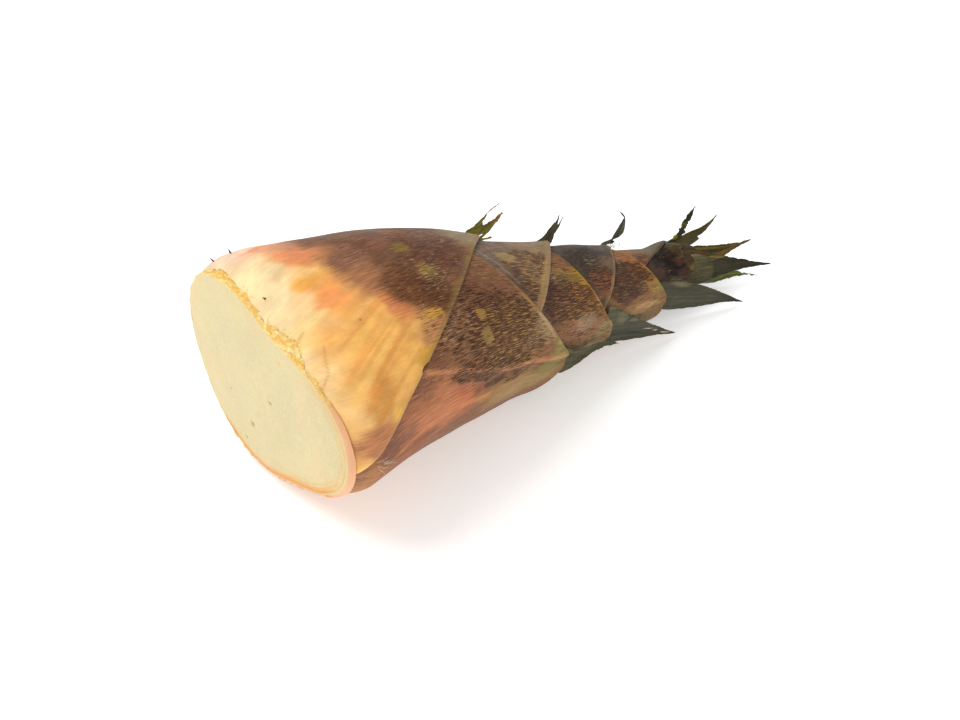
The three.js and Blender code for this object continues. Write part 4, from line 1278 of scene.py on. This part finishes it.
def bristlePiece(name, hairs):
    # direction = normal + forward * along + random spread, length 0.5 to 1.5 of the usual one
    rng = np.random.default_rng(hairs["seed"])
    count = hairs["count"]
    x = rng.uniform(*hairs["x"], count)
    turn = np.radians(rng.uniform(*hairs["turns"], count))
    here, normal, along = outwardAt(x, turn, hairs["depth"])
    direction = normal + hairs["forward"] * along + hairs["spread"] * rng.standard_normal((count, 3))
    direction /= np.linalg.norm(direction, axis=1)[:, None]
    lengths = hairs["length"] * (0.5 + rng.random(count))
    bow = 0.175 * lengths[:, None] * rng.standard_normal((count, 3))
    fibrePiece(name, here - normal * 0.3, direction, lengths, hairs["thick"], hairs["colour"], bow,
               hairs["seed"] + 1)


stubPiece(rootStubs)
for name, hairs in bristles.items():
    bristlePiece(name, hairs)
print("fibres made")

studio = {
    "floorSize": 6.0, "floorColour": (0.93, 0.93, 0.925, 1), "floorGlow": 0.42, "floorRoughness": 0.7,
    "floorSpecular": 0.2, "world": 0.55, "white": (1.0, 1.0, 1.0, 1),
    "lights": {"key": {"place": (-0.55, 0.35, 0.95), "size": 0.75, "power": 6.6, "colour": (1.0, 0.985, 0.96)},
               "fill": {"place": (0.35, -0.95, 0.55), "size": 0.9, "power": 1.2, "colour": (1.0, 1.0, 1.0)}},
    "elevation": 36.0, "swing": 37.5, "distance": 700.0, "target": (91.5, -8.8, 20.0), "lens": 68.1, "sensor": 36,
}


def makeFloor(studio):
    # one pale square at height 0
    half = studio["floorSize"] / 2
    mesh = bpy.data.meshes.new("floor")
    mesh.from_pydata([(-half, -half, 0), (half, -half, 0), (half, half, 0), (-half, half, 0)], [], [(0, 1, 2, 3)])
    material, _, shader = newMaterial("paleFloor")
    setSockets(shader, {"Base Color": studio["floorColour"], "Roughness": studio["floorRoughness"],
                        "Specular IOR Level": studio["floorSpecular"], "Emission Color": studio["white"],
                        "Emission Strength": studio["floorGlow"]})
    mesh.materials.append(material)
    floor = bpy.data.objects.new("floor", mesh)
    bpy.context.collection.objects.link(floor)


def makeWorld(studio):
    # soft white light all round, and plain white where nothing stands in front of it
    world = bpy.data.worlds.new("softWhite")
    world.use_nodes = True
    nodes, links = world.node_tree.nodes, world.node_tree.links
    glow, backdrop = nodes["Background"], nodes.new("ShaderNodeBackground")
    setSockets(glow, {"Color": studio["white"], "Strength": studio["world"]})
    setSockets(backdrop, {"Color": studio["white"]})
    seen, either = nodes.new("ShaderNodeLightPath"), nodes.new("ShaderNodeMixShader")
    links.new(seen.outputs["Is Camera Ray"], either.inputs[0])
    links.new(glow.outputs[0], either.inputs[1])
    links.new(backdrop.outputs[0], either.inputs[2])
    links.new(either.outputs[0], nodes["World Output"].inputs["Surface"])
    bpy.context.scene.world = world


def softLight(name, lamp):
    # a round lamp turned towards the middle of the shoot
    light = bpy.data.lights.new(name, "AREA")
    light.shape = "DISK"
    light.size = lamp["size"]
    light.energy = lamp["power"]
    light.color = lamp["colour"]
    holder = bpy.data.objects.new(name, light)
    holder.location = lamp["place"]
    holder.rotation_euler = (-Vector(lamp["place"])).to_track_quat("-Z", "Y").to_euler()
    bpy.context.collection.objects.link(holder)


def makeCamera(studio):
    # at its distance from the target, looking down by the elevation and turned by the swing
    e, s = math.radians(studio["elevation"]), math.radians(studio["swing"])
    look = np.array([math.cos(e) * math.sin(s), math.cos(e) * math.cos(s), -math.sin(e)])
    cameraData = bpy.data.cameras.new("camera")
    cameraData.lens = studio["lens"]
    cameraData.sensor_width = studio["sensor"]
    camera = bpy.data.objects.new("camera", cameraData)
    camera.location = (np.array(studio["target"]) - look * studio["distance"] + rowShift) * 0.001
    right = Vector((math.cos(s), -math.sin(s), 0))
    up = Vector((math.sin(e) * math.sin(s), math.sin(e) * math.cos(s), math.cos(e)))
    camera.rotation_euler = Matrix((right, up, -Vector(look))).transposed().to_euler()
    bpy.context.collection.objects.link(camera)
    bpy.context.scene.camera = camera


makeFloor(studio)
makeWorld(studio)
for name, lamp in studio["lights"].items():
    softLight(name, lamp)
makeCamera(studio)
bpy.context.scene.view_settings.view_transform = "Standard"
print("studio made")
